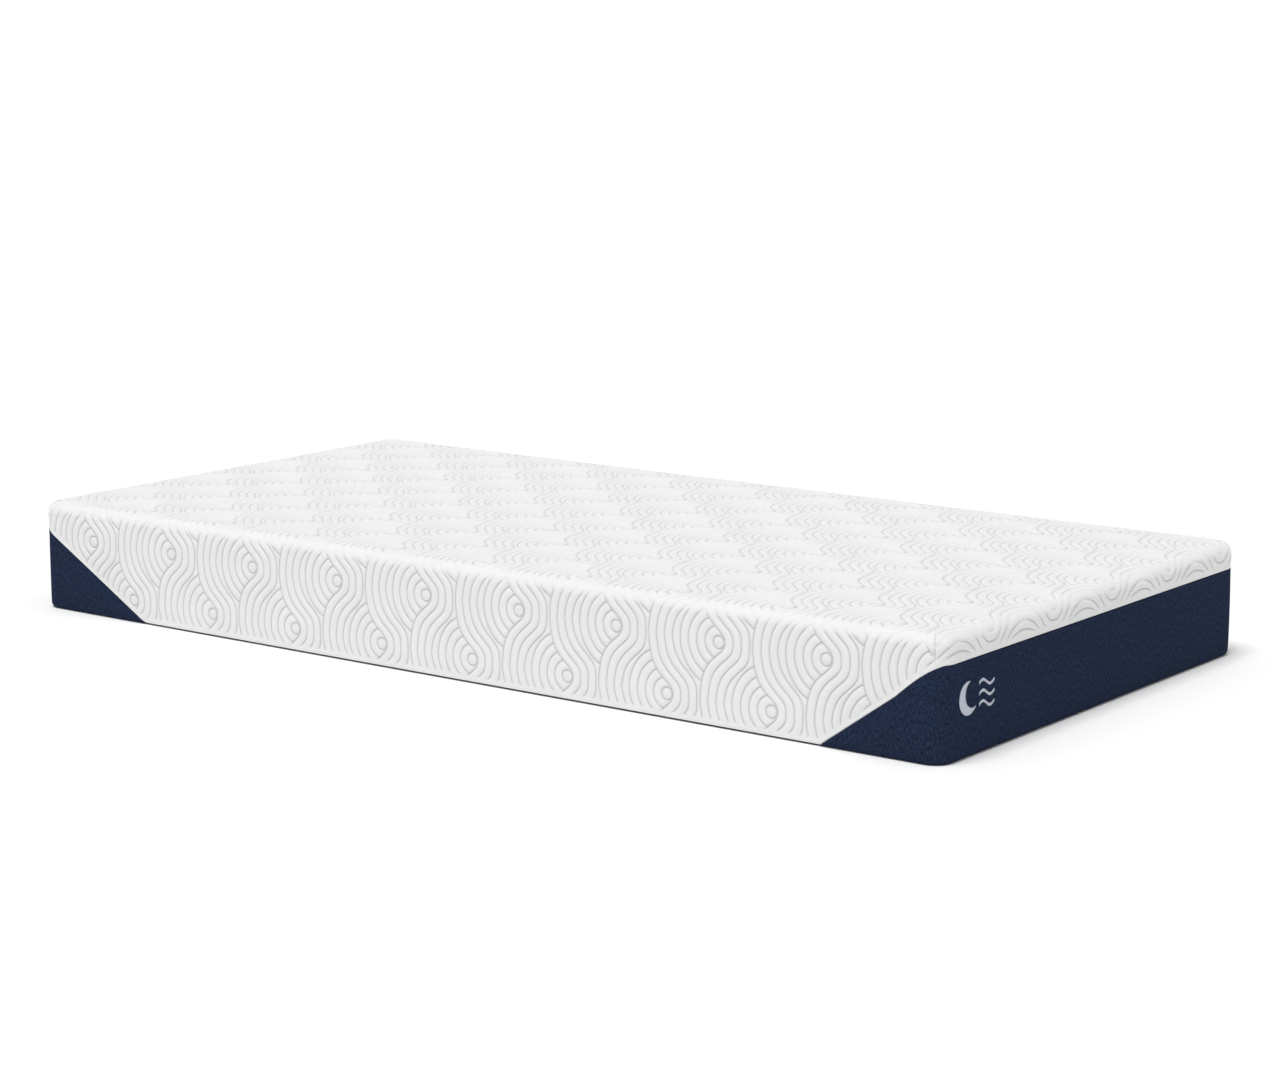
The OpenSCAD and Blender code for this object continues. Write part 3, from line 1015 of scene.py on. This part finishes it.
class MATTRESS_OT_end_panels(bpy.types.Operator):
    """Add both navy end panels, each with a slanted wing round either corner"""

    bl_idname = "mattress.end_panels"
    bl_label = "End panels"

    def execute(self, context):
        form = context.scene.mattress_form
        navy = navy_material(context.scene.mattress_colours)
        level = form.half_length - form.wall
        head_tip = -form.head_wing_x - (level + form.head_wing_x) * -form.low_z / form.border_z
        foot_tip = form.foot_wing_x + form.low_z / form.foot_wing_slope
        zipper = context.scene.mattress_zip
        self.panel(form, zipper, "end_panel_head", -1, head_tip, navy)
        self.panel(form, zipper, "end_panel_foot", 1, foot_tip, navy)
        return {"FINISHED"}

    def panel(self, form, zipper, node, end, tip, material):
        """One panel, on the end at +X or, turned half round, at -X; its wings reach to x = tip."""
        straight = form.half_width - form.corner_r
        turned = straight + form.corner_r * math.pi / 2
        reach = turned + form.half_length - form.corner_r - tip
        along = steps((straight, 90), (turned, 16), (reach, 56))
        up = steps((0.065, 7), (0.93, 28), (0.97, 3), (1.0, 6))
        mesh = flat_grid(node + "_fabric", 2 * (len(along) - 1), len(up) - 1)
        index = np.rint(read_points(mesh) * 2)
        s = mirrored(along, np.rint(index[:, 0] / 2))
        share = up[np.rint((index[:, 1] + len(up) - 1) / 2).astype(int)]
        x, y, out_x, out_y = outline(form, s)
        border = border_height(form, end * x) - form.edge_gap
        r = form.low_edge_r
        lowest = r - math.sqrt(r**2 - (r - form.wall) ** 2)
        z = lowest + share * (border - lowest)
        under = np.clip(r - z, 0, r)
        inset = r - np.sqrt(r**2 - under**2)
        fold_r = zipper.fold_r
        inset += fold_r - np.sqrt(fold_r**2 - np.clip(fold_r - (border - z), 0, fold_r) ** 2)
        points = np.stack([end * (x - inset * out_x), end * (y - inset * out_y), z], 1)
        write_points(mesh, points + swelling(form).at(points))
        write_map(mesh, "fabric", s, z)
        write_map(mesh, "OFBake", 0.5 + 0.98 * s / (2 * reach), 0.01 + 0.98 * z / form.border_z)
        mesh.materials.append(material)
        piece = new_piece(node + "_fabric", mesh, "base_cover", "navy_fabric", node)
        thicken(piece, form.wall * 0.75, border - z < zipper.channel, zipper.fold_t)


class MATTRESS_OT_base_panel(bpy.types.Operator):
    """Add the dark fabric under the mattress, rolled up at its edge between the wings"""

    bl_idname = "mattress.base_panel"
    bl_label = "Base panel"

    def execute(self, context):
        form = context.scene.mattress_form
        r = form.low_edge_r
        size = Vector((form.half_length - r, form.half_width - r, 1))
        bm = bmesh.new()
        bmesh.ops.create_grid(bm, x_segments=160, y_segments=80, size=1.0)
        bmesh.ops.scale(bm, vec=size, verts=bm.verts)
        core = Vector((form.half_length - form.corner_r, form.half_width - form.corner_r, 0))
        for vert in bm.verts:
            over = Vector((max(abs(vert.co.x) - core.x, 0), max(abs(vert.co.y) - core.y, 0), 0))
            if over.x and over.y:
                over *= max(over.x, over.y) / over.length
                vert.co.x = math.copysign(core.x + over.x, vert.co.x)
                vert.co.y = math.copysign(core.y + over.y, vert.co.y)
        rim = [e for e in bm.edges if e.is_boundary]
        starts = {v: (v.co.copy(), plan_outward(form, v.co)) for e in rim for v in e.verts}
        rows = 8
        for row in range(1, rows + 1):
            made = bmesh.ops.extrude_edge_only(bm, edges=rim)["geom"]
            rim = [g for g in made if isinstance(g, bmesh.types.BMEdge)]
            above = {}
            for vert in (g for g in made if isinstance(g, bmesh.types.BMVert)):
                start, out = starts[self.below(vert, starts)]
                angle = self.roll(form, start) * row / rows
                vert.co = start + out * (r * math.sin(angle)) + Vector((0, 0, r * (1 - math.cos(angle))))
                above[vert] = (start, out)
            starts = above
        bmesh.ops.recalc_face_normals(bm, faces=bm.faces)
        mesh = mesh_of("base_panel_fabric", bm)
        points = read_points(mesh)
        write_map(mesh, "fabric", *points[:, :2].T)
        mesh.materials.append(base_material(context.scene.mattress_colours))
        piece = new_piece("base_panel_fabric", mesh, "base_cover", "base_fabric", "base_panel")
        under_knit = (np.abs(points[:, 1]) > form.half_width - r - 0.0001) & (
            border_height(form, points[:, 0]) <= form.low_z + 1e-6
        )
        thicken(piece, form.wall * 0.75, under_knit, context.scene.mattress_zip.fold_t)
        return {"FINISHED"}

    def below(self, vert, known):
        """The vertex that an extruded one was made from."""
        return next(e.other_vert(vert) for e in vert.link_edges if e.other_vert(vert) in known)

    def roll(self, form, start):
        """How far round the bottom edge the fabric goes: under the white knit, or only to an end panel."""
        short = math.asin((form.low_edge_r - form.wall) / form.low_edge_r)
        tall = math.acos(1 - (form.low_z - form.edge_gap) / form.low_edge_r)
        between = float(border_height(form, np.float64(start.x))) <= form.low_z + 1e-6
        on_side = abs(start.y) > form.half_width - form.low_edge_r - 1e-4
        return tall if between and on_side else short


# ---------------------------------------------------------------- foam core


class MATTRESS_OT_foam_core(bpy.types.Operator):
    """Add the three foam layers of the core"""

    bl_idname = "mattress.foam_core"
    bl_label = "Foam core"

    CORE_GAP = 0.0005
    SOFT_EDGE = 0.0008
    CELLS_ALONG, CELLS_ACROSS = 33, 17

    def execute(self, context):
        form, colours = context.scene.mattress_form, context.scene.mattress_colours
        top_r = form.top_edge_r - form.wall - self.CORE_GAP
        layers = (
            ("comfort_foam", "memory_foam", top_r, 0.0011, 0.0006),
            ("transition_foam", "transition_foam", self.SOFT_EDGE, 0.0016, 0.0008),
            ("support_foam", "support_foam", self.SOFT_EDGE, 0.0022, 0.0010),
        )
        for node, foam, radius, pore, unevenness in layers:
            self.block(form, node, radius, foam_material(foam, getattr(colours, foam), pore), unevenness)
        return {"FINISHED"}

    def block(self, form, node, top_r, material, unevenness):
        """A block of foam that fills a CAD node's box, its top edge of radius top_r."""
        low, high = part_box(node)
        bm = bmesh.new()
        bmesh.ops.create_cube(bm, size=1.0)
        bmesh.ops.scale(bm, vec=high - low, verts=bm.verts)
        bmesh.ops.translate(bm, vec=(low + high) / 2, verts=bm.verts)
        upright = [e for e in bm.edges if abs(e.verts[0].co.z - e.verts[1].co.z) > 0.001]
        corner_r = form.corner_r - (form.half_width - high.y)
        self.round_off(bm, upright, corner_r, 10)
        for z, radius, segments in ((high.z, top_r, 8), (low.z, self.SOFT_EDGE, 2)):
            rim = [e for e in bm.edges if all(abs(v.co.z - z) < 1e-5 for v in e.verts)]
            self.round_off(bm, rim, radius, segments if radius > 0.002 else 2)
        self.cut(bm, low, high)
        middle = (low + high) / 2
        for vert in bm.verts:
            wobble = noise.noise(vert.co * 9 + middle * 40) + 0.5 * noise.noise(vert.co * 31)
            inward = (middle - vert.co).normalized()
            vert.co += inward * unevenness * (0.5 + 0.5 * wobble)
        mesh = mesh_of(node + "_block", bm)
        mesh.materials.append(material)
        piece = new_piece(node + "_block", mesh, "foam_core", frame_slot(node), node)

    def round_off(self, bm, edges, radius, segments):
        bmesh.ops.bevel(
            bm, geom=edges, offset=radius, offset_type="OFFSET", segments=segments, profile=0.5,
            affect="EDGES", material=-1,
        )

    def cut(self, bm, low, high):
        """Cuts the block's large faces into cells of about 60 mm."""
        for axis, cuts in ((0, self.CELLS_ALONG), (1, self.CELLS_ACROSS)):
            normal = Vector([float(i == axis) for i in range(3)])
            for i in range(1, cuts):
                place = normal * (low[axis] + (high[axis] - low[axis]) * i / cuts)
                bmesh.ops.bisect_plane(
                    bm, geom=bm.verts[:] + bm.edges[:] + bm.faces[:], plane_co=place, plane_no=normal
                )


def frame_slot(node):
    """The material slot that the record gives a node."""
    return next(part["material_slot"] for part in frame["record"]["subparts"] if part["node"] == node)


# ---------------------------------------------------------------- zip


def zip_line(form, zipper, spacing):
    """Evenly spaced points of the tooth line, round from behind the slider, and its ways along and out."""
    side = form.half_width + form.half_length - form.corner_r * (2 - math.pi / 2)
    x, y, out_x, out_y = outline(form, np.linspace(-side, side, 6001))
    half = np.stack([x, y, out_x, out_y], 1)[:-1]
    loop = np.concatenate([half, -half])
    behind = (SLIDER_BOX[0].y + SLIDER_BOX[1].y) / 2 + zipper.clear_behind
    start = np.argmin(np.hypot(loop[:, 0] + form.half_length, loop[:, 1] - behind))
    loop = np.roll(loop, -start, axis=0)
    height = np.maximum(border_height(form, loop[:, 0]), zipper.low_line)
    loop = np.column_stack([loop[:, :2], height, loop[:, 2:]])
    length = np.concatenate([[0], np.cumsum(np.linalg.norm(np.diff(loop[:, :3], axis=0), axis=1))])
    places = np.linspace(0, length[-1], round(length[-1] / spacing) + 1)
    line = np.stack([np.interp(places, length, loop[:, i]) for i in range(5)], 1)
    points, out = line[:, :3], np.column_stack([line[:, 3:], np.zeros(len(line))])
    along = np.gradient(points, axis=0)
    along /= np.linalg.norm(along, axis=1, keepdims=True)
    return points, along, out


def beside_line(form, points, out, rise, depth):
    """Places a rise above the tooth line, or below it round the bottom edge, and a depth inside the wall."""
    inset, height = rolled(form, points[:, 2] + rise, depth)
    return np.column_stack([points[:, :2] - out[:, :2] * inset[:, None], height])


class MATTRESS_OT_zip_chain(bpy.types.Operator):
    """Add the zip's two tapes, its two rows of teeth and its stops"""

    bl_idname = "mattress.zip_chain"
    bl_label = "Zip chain"

    def execute(self, context):
        form, zipper, colours = (
            context.scene.mattress_form, context.scene.mattress_zip, context.scene.mattress_colours,
        )
        white, navy = colours.white_tape, colours.navy_tape
        self.tape(form, zipper, "zip_tape_top", "top_cover", 1, tape_material("white_tape", white))
        self.tape(form, zipper, "zip_tape_base", "base_cover", -1, tape_material("navy_tape", navy))
        self.teeth(form, zipper, "tooth_row_top", "top_cover", 1, teeth_material("white_teeth", white))
        self.teeth(form, zipper, "tooth_row_base", "base_cover", -1, teeth_material("navy_teeth", navy))
        metal = metal_material(colours)
        for node in ("zip_stop_top", "zip_stop_base"):
            stop = frame["nodes"][node]
            stop.data.materials.clear()
            stop.data.materials.append(metal)
        return {"FINISHED"}

    def tape(self, form, zipper, node, body, up, material):
        """A woven tape beside the tooth line, above it or below it."""
        spacing, rows = 0.008, 6
        points, _, out = zip_line(form, zipper, spacing)
        mesh = flat_grid(node + "_woven", len(points) - 1, rows)
        grid = read_points(mesh)
        column = np.rint(grid[:, 0] + (len(points) - 1) / 2).astype(int)
        wide = zipper.tape_end - zipper.tape_start
        rise = up * (zipper.tape_start + wide * (0.5 + up * grid[:, 1] / rows))
        write_points(mesh, beside_line(form, points[column], out[column], rise, zipper.tape_depth))
        write_map(mesh, "fabric", column * spacing, rise)
        mesh.materials.append(material)
        piece = new_piece(node + "_woven", mesh, body, frame_slot(node), node)
        thicken(piece, zipper.tape_t * 0.8)

    def teeth(self, form, zipper, node, body, up, material):
        """A row of teeth along the whole tooth line, but for the stretch at the slider and the stops."""
        spacing = zipper.tooth_pitch
        points, along, out = zip_line(form, zipper, spacing)
        rise = np.full(len(points), up * (0.0001 + zipper.tooth_w / 2))
        middles = beside_line(form, points, out, rise, zipper.tooth_depth + zipper.tooth_t / 2)
        slider_y = (SLIDER_BOX[0].y + SLIDER_BOX[1].y) / 2
        bm = bmesh.new()
        for place, way, outward in zip(middles[:-1], along, out):
            at_slider = place[0] < -form.half_length + form.corner_r and (
                slider_y - zipper.clear_before < place[1] < slider_y + zipper.clear_behind
            )
            if at_slider:
                continue
            middle = Vector(place) + Vector(way) * spacing * 0.25 * up
            size = (spacing * 0.42, zipper.tooth_w, zipper.tooth_t)
            verts = place_block(bm, middle, Vector(way), Vector(outward), size)
            for vert in verts:
                if (vert.co.z - middle.z) * up < 0:
                    vert.co += (middle - vert.co) * 0.25
        mesh = mesh_of(node + "_teeth", bm, smooth=False)
        mesh.materials.append(material)
        new_piece(node + "_teeth", mesh, body, frame_slot(node), node)


class MATTRESS_OT_zip_slider(bpy.types.Operator):
    """Add the zip's slider and its pull tab"""

    bl_idname = "mattress.zip_slider"
    bl_label = "Zip slider"

    FLANGE_T, FLANGE_START = 0.0011, 0.0023
    NECK_HALF_L = 0.0025
    FACE_HALF_H, FACE_SHORTER = 0.003, 0.001
    BAIL = (0.0008, 0.0020, 0.0030)
    PIN_R, PIN_L = 0.0007, 0.0041
    CHEEK = (0.00115, 0.00205)
    CHEEK_BEFORE, CHEEK_BEHIND = 0.0065, 0.0008
    PLATE_END = 0.0055

    def execute(self, context):
        form, zipper = context.scene.mattress_form, context.scene.mattress_zip
        metal = bpy.data.materials["zip_metal"]
        low, high = SLIDER_BOX
        middle = Vector((-form.half_length, (low.y + high.y) / 2, (low.z + high.z) / 2))
        self.slider(form, zipper, middle, metal)
        self.pull_tab(zipper, middle, metal)
        return {"FINISHED"}

    def rounded_box(self, bm, low, high, radius):
        """A box between two corners, its edges rounded."""
        matrix = Matrix.Translation((Vector(low) + Vector(high)) / 2)
        size = Vector(high) - Vector(low)
        verts = bmesh.ops.create_cube(bm, size=1.0, matrix=matrix @ Matrix.Diagonal((*size, 1)))["verts"]
        edges = list({e for v in verts for e in v.link_edges})
        bmesh.ops.bevel(
            bm, geom=edges, offset=radius, segments=3, profile=0.5, affect="EDGES", material=-1
        )

    def slider(self, form, zipper, middle, metal):
        low, high = SLIDER_BOX
        half_y, half_z = (high.y - low.y) / 2, (high.z - low.z) / 2
        outer = middle.x - zipper.outer_gap
        bm = bmesh.new()
        y, z = middle.y, middle.z
        plate, neck = zipper.plate_t, zipper.neck_w / 2
        back = high.x - plate
        self.rounded_box(bm, (back, y - half_y, z - half_z), (high.x, y + half_y, z + half_z), plate * 0.4)
        for side in (-1, 1):
            edge, inner = sorted((z + side * half_z, z + side * (half_z - self.FLANGE_T)))
            flange = middle.x + self.FLANGE_START
            self.rounded_box(bm, (flange, y - half_y, edge), (back, y + half_y, inner), 0.0002)
        half_l = self.NECK_HALF_L
        self.rounded_box(bm, (outer, y - half_l, z - neck), (back, y + half_l, z + neck), 0.0001)
        half_l, half_h = half_y - self.FACE_SHORTER, self.FACE_HALF_H
        self.rounded_box(
            bm, (outer - plate, y - half_l, z - half_h), (outer, y + half_l, z + half_h), plate * 0.4
        )
        self.arch(bm, Vector((outer - plate * 0.7, y, z)), low.x)
        mesh = mesh_of("slider_body", bm)
        mesh.materials.append(metal)
        new_piece("slider_body", mesh, "zip_slider", "zip_metal", "zip_slider")

    def arch(self, bm, foot, top_x):
        """The bail over the slider: a flat bar spun half round and stretched to its height."""
        bar, inner, outer = self.BAIL
        start = [
            bm.verts.new(foot + Vector((0, radius, height)))
            for radius, height in ((inner, -bar), (outer, -bar), (outer, bar), (inner, bar))
        ]
        face = bm.faces.new(start)
        bmesh.ops.spin(
            bm, geom=[face, *face.edges, *face.verts], cent=foot, axis=(0, 0, 1), angle=math.pi, steps=14,
            use_merge=False,
        )
        grown = self.grown(face)
        arch = {v for f in bm.faces if f in grown for v in f.verts}
        stretch = (foot.x - top_x) / outer
        for vert in arch:
            vert.co.x = foot.x - abs(vert.co.x - foot.x) * stretch

    def grown(self, face):
        """Every face joined to one."""
        known, edge = {face}, [face]
        while edge:
            near = {f for one in edge for e in one.edges for f in e.link_faces} - known
            known |= near
            edge = list(near)
        return known

    def pull_tab(self, zipper, middle, metal):
        low, high = TAB_BOX
        pin_x = (low.x + high.x) / 2
        half_t, half_w = zipper.tab_t / 2, (high.z - low.z) / 2
        z = middle.z
        bm = bmesh.new()
        pin = Matrix.Translation((pin_x, middle.y, z))
        bmesh.ops.create_cone(
            bm, cap_ends=True, segments=16, radius1=self.PIN_R, radius2=self.PIN_R,
            depth=self.PIN_L, matrix=pin,
        )
        for side in (-1, 1):
            inner, outer = sorted(z + side * far for far in self.CHEEK)
            low_y, high_y = middle.y - self.CHEEK_BEFORE, middle.y + self.CHEEK_BEHIND
            self.rounded_box(bm, (pin_x - half_t, low_y, inner), (pin_x + half_t, high_y, outer), 0.0002)
        verts = bmesh.ops.create_cone(
            bm, cap_ends=True, segments=40, radius1=half_w, radius2=half_w, depth=2 * half_t,
            matrix=Matrix.Translation((pin_x, low.y + half_w, z)) @ Matrix.Rotation(math.pi / 2, 4, "Y"),
        )["verts"]
        for vert in verts:
            if vert.co.y > low.y + half_w + 1e-6:
                vert.co.y = middle.y - self.PLATE_END + (vert.co.y - low.y - 2 * half_w) * 0.3
        self.hollow_face(bm, verts, half_w, half_t)
        mesh = mesh_of("pull_tab_plate", bm, smooth=False)
        mesh.materials.append(metal)
        new_piece("pull_tab_plate", mesh, "pull_tab", "zip_metal", "pull_tab")

    def hollow_face(self, bm, verts, half_w, half_t):
        """Rounds the plate's rim and sinks its outer face a little."""
        faces = {f for v in verts for f in v.link_faces}
        caps = [f for f in faces if len(f.verts) > 8]
        rims = list({e for f in caps for e in f.edges})
        outer = min(caps, key=lambda f: f.calc_center_median().x)
        bmesh.ops.inset_region(bm, faces=[outer], thickness=half_w * 0.3, use_even_offset=True)
        bmesh.ops.translate(bm, vec=(half_t * 0.4, 0, 0), verts=outer.verts[:])
        bmesh.ops.bevel(
            bm, geom=[e for e in rims if e.is_valid], offset=half_t * 0.35, segments=2, profile=0.5,
            affect="EDGES", material=-1,
        )


# ---------------------------------------------------------------- emblem and label


class MATTRESS_OT_emblem(bpy.types.Operator):
    """Add the embroidered emblem on the foot end: a crescent beside three waves"""

    bl_idname = "mattress.emblem"
    bl_label = "Emblem"

    RAISED = 0.0008
    WAVE_L, WAVE_H, WAVE_W = 0.046, 0.005, 0.005
    WAVE_GAP = 0.017
    HORN_SHIFT = (0.013, 0.005)
    CRESCENT_W = 0.005
    ROWS = 6
    STRAND = 0.00045

    def execute(self, context):
        form = context.scene.mattress_form
        low, high = EMBLEM_BOX
        radius = (high.z - low.z) / 2
        middle = np.array([low.y + radius, low.z + radius])
        pieces = [self.satin(form, 130, *self.crescent(middle, radius))]
        for row in (-1, 0, 1):
            start = np.array([high.y - self.WAVE_L, low.z + radius + row * self.WAVE_GAP])
            pieces.append(self.satin(form, 60, *self.wave(start, self.WAVE_L, self.WAVE_H, self.WAVE_W)))
        bm = bmesh.new()
        for mesh in pieces:
            bm.from_mesh(mesh)
            bpy.data.meshes.remove(mesh)
        mesh = mesh_of("end_emblem_satin", bm)
        colour = context.scene.mattress_colours.thread
        mesh.materials.append(thread_material("emblem_thread", colour, self.STRAND))
        piece = new_piece("end_emblem_satin", mesh, "base_cover", "emblem_thread", "end_emblem")
        thicken(piece, 0.0003)
        return {"FINISHED"}

    def crescent(self, middle, radius):
        """Inner and outer edge of the crescent, as functions of a share from horn to horn."""
        shift = np.array(self.HORN_SHIFT)
        inner_r = radius - self.CRESCENT_W
        tilt, gap = math.atan2(shift[1], shift[0]), math.hypot(*shift)
        outer_turn = math.acos((radius**2 + gap**2 - inner_r**2) / (2 * radius * gap))
        inner_turn = math.acos((radius**2 - gap**2 - inner_r**2) / (2 * inner_r * gap))

        def arc(centre, r, turn):
            def at(t):
                angle = tilt + turn + t * (2 * math.pi - 2 * turn)
                return centre + r * np.stack([np.cos(angle), np.sin(angle)], 1)
            return at
        return arc(middle + shift, inner_r, inner_turn), arc(middle, radius, outer_turn)

    def wave(self, start, length, height, wide):
        """Upper and lower edge of a wave."""
        def edge(side):
            def at(t):
                rise = height * np.sin(2 * math.pi * t) + side * wide / 2
                return start + np.stack([length * t, rise], 1)
            return at
        return edge(1), edge(-1)

    def satin(self, form, columns, upper, lower):
        """Raised satin stitching between two edges."""
        mesh = flat_grid("satin", columns, self.ROWS)
        grid = read_points(mesh)
        t, w = grid[:, 0] / columns + 0.5, grid[:, 1] / self.ROWS + 0.5
        yz = upper(t) * w[:, None] + lower(t) * (1 - w[:, None])
        width = np.linalg.norm(upper(t) - lower(t), axis=1)
        dome = np.sqrt(np.clip(1 - (2 * w - 1) ** 2, 0, 1)) * np.minimum(1, width / 0.004)
        points = np.column_stack([form.half_length + 0.0001 + self.RAISED * dome, yz])
        skin = points.copy()
        skin[:, 0] = form.half_length
        write_points(mesh, points + swelling(form).at(skin))
        along = np.linalg.norm(np.diff(upper(np.linspace(0, 1, 200)), axis=0), axis=1).sum()
        write_map(mesh, "fabric", t * along, w * width)
        return mesh


class MATTRESS_OT_care_label(bpy.types.Operator):
    """Add the blank care label on the head end"""

    bl_idname = "mattress.care_label"
    bl_label = "Care label"

    COLUMNS, ROWS = 12, 20
    LIFT, RIPPLE, CLEAR = 0.0030, 0.0008, 0.0006

    def execute(self, context):
        form = context.scene.mattress_form
        low, high = LABEL_BOX
        mesh = flat_grid("care_label_satin", self.COLUMNS, self.ROWS)
        grid = read_points(mesh)
        across, up = grid[:, 0] / self.COLUMNS, grid[:, 1] / self.ROWS + 0.5
        y = (low.y + high.y) / 2 - across * (high.y - low.y)
        z = low.z + up * (high.z - low.z)
        lift = self.LIFT * (1 - up) ** 2 + self.RIPPLE * np.cos(across * 7) * (1 - up)
        skin = np.column_stack([np.full(len(y), -form.half_length), y, z])
        points = skin + swelling(form).at(skin)
        points[:, 0] -= self.CLEAR + lift
        write_points(mesh, points)
        mesh.materials.append(satin_material(context.scene.mattress_colours))
        piece = new_piece("care_label_satin", mesh, "base_cover", "label_satin", "care_label")
        thicken(piece, 0.0003)
        return {"FINISHED"}


# ---------------------------------------------------------------- stage


class MATTRESS_OT_stage(bpy.types.Operator):
    """Add the floor, the light and the camera"""

    bl_idname = "mattress.stage"
    bl_label = "Stage"

    SUN_ANGLE = math.radians(28)
    SUN_WAY = Vector((0.0, 0.28, -0.96))

    def execute(self, context):
        stage = context.scene.mattress_stage
        bm = bmesh.new()
        bmesh.ops.create_grid(bm, x_segments=1, y_segments=1, size=stage.floor)
        floor = bpy.data.objects.new("floor", mesh_of("floor", bm))
        floor.data.materials.append(floor_material())
        context.scene.collection.objects.link(floor)
        self.light(context.scene, stage)
        self.camera(context.scene, stage)
        context.scene.view_settings.view_transform = "Standard"
        return {"FINISHED"}

    def light(self, scene, stage):
        """Even light all round and a soft key light from above the near long side."""
        world = bpy.data.worlds.new("studio")
        world.use_nodes = True
        tree = world.node_tree
        sky = tree.nodes["Background"]
        sky.inputs["Strength"].default_value = stage.sky
        sky.inputs["Color"].default_value = (1, 1, 1, 1)
        backdrop = tree.nodes.new("ShaderNodeBackground")
        backdrop.inputs["Color"].default_value = (1, 1, 1, 1)
        seen = tree.nodes.new("ShaderNodeLightPath")
        mix = tree.nodes.new("ShaderNodeMixShader")
        tree.links.new(seen.outputs["Is Camera Ray"], mix.inputs[0])
        tree.links.new(sky.outputs[0], mix.inputs[1])
        tree.links.new(backdrop.outputs[0], mix.inputs[2])
        tree.links.new(mix.outputs[0], tree.nodes["World Output"].inputs[0])
        scene.world = world

        sun = bpy.data.lights.new("key", "SUN")
        sun.energy = stage.sun
        sun.angle = self.SUN_ANGLE
        key = bpy.data.objects.new("key", sun)
        key.rotation_mode = "QUATERNION"
        key.rotation_quaternion = self.SUN_WAY.to_track_quat("-Z", "Y")
        scene.collection.objects.link(key)

    def camera(self, scene, stage):
        turn, rise = stage.azimuth, stage.elevation
        back = Vector((math.sin(turn) * math.cos(rise), -math.cos(turn) * math.cos(rise), math.sin(rise)))
        right = (-back).cross(Vector((0, 0, 1))).normalized()
        up = right.cross(-back)
        low, high = CAD_BOUNDS
        middle = Vector(((COVER_BOX[0].x + COVER_BOX[1].x) / 2, (low.y + high.y) / 2, low.z))
        camera = bpy.data.objects.new("camera", bpy.data.cameras.new("camera"))
        camera.location = middle + right * stage.aim_right + up * stage.aim_up + back * stage.distance
        camera.rotation_mode = "QUATERNION"
        camera.rotation_quaternion = (-back).to_track_quat("-Z", "Y")
        camera.data.lens = stage.lens
        camera.data.sensor_width = 36
        camera.data.clip_end = 2000
        scene.collection.objects.link(camera)
        scene.camera = camera


# ---------------------------------------------------------------- panel and registration


class MATTRESS_PT_panel(bpy.types.Panel):
    """Lists the mattress's pieces"""

    bl_idname = "MATTRESS_PT_panel"
    bl_label = "Foam mattress"
    bl_space_type = "VIEW_3D"
    bl_region_type = "UI"
    bl_category = "Mattress"

    def draw(self, context):
        for name in GROUPS:
            box = self.layout.box()
            group = getattr(context.scene, name)
            for prop in group.bl_rna.properties:
                if prop.identifier not in {"rna_type", "name"}:
                    box.prop(group, prop.identifier)
        for operator in OPERATORS:
            self.layout.operator(operator.bl_idname)


GROUPS = {
    "mattress_form": MattressForm,
    "mattress_knit": MattressKnit,
    "mattress_zip": MattressZip,
    "mattress_colours": MattressColours,
    "mattress_stage": MattressStage,
}
OPERATORS = (
    MATTRESS_OT_foam_core,
    MATTRESS_OT_base_panel,
    MATTRESS_OT_end_panels,
    MATTRESS_OT_top_cover,
    MATTRESS_OT_cover_lining,
    MATTRESS_OT_corner_stitches,
    MATTRESS_OT_zip_chain,
    MATTRESS_OT_zip_slider,
    MATTRESS_OT_emblem,
    MATTRESS_OT_care_label,
    MATTRESS_OT_stage,
)


def register():
    for group in GROUPS.values():
        bpy.utils.register_class(group)
    for name, group in GROUPS.items():
        setattr(bpy.types.Scene, name, bpy.props.PointerProperty(type=group))
    for operator in OPERATORS:
        bpy.utils.register_class(operator)
    bpy.utils.register_class(MATTRESS_PT_panel)


def unregister():
    bpy.utils.unregister_class(MATTRESS_PT_panel)
    for operator in reversed(OPERATORS):
        bpy.utils.unregister_class(operator)
    for name in GROUPS:
        delattr(bpy.types.Scene, name)
    for group in reversed(list(GROUPS.values())):
        bpy.utils.unregister_class(group)


def main():
    register()
    for operator in OPERATORS:
        group, name = operator.bl_idname.split(".")
        getattr(getattr(bpy.ops, group), name)()


if __name__ == "__main__":
    main()
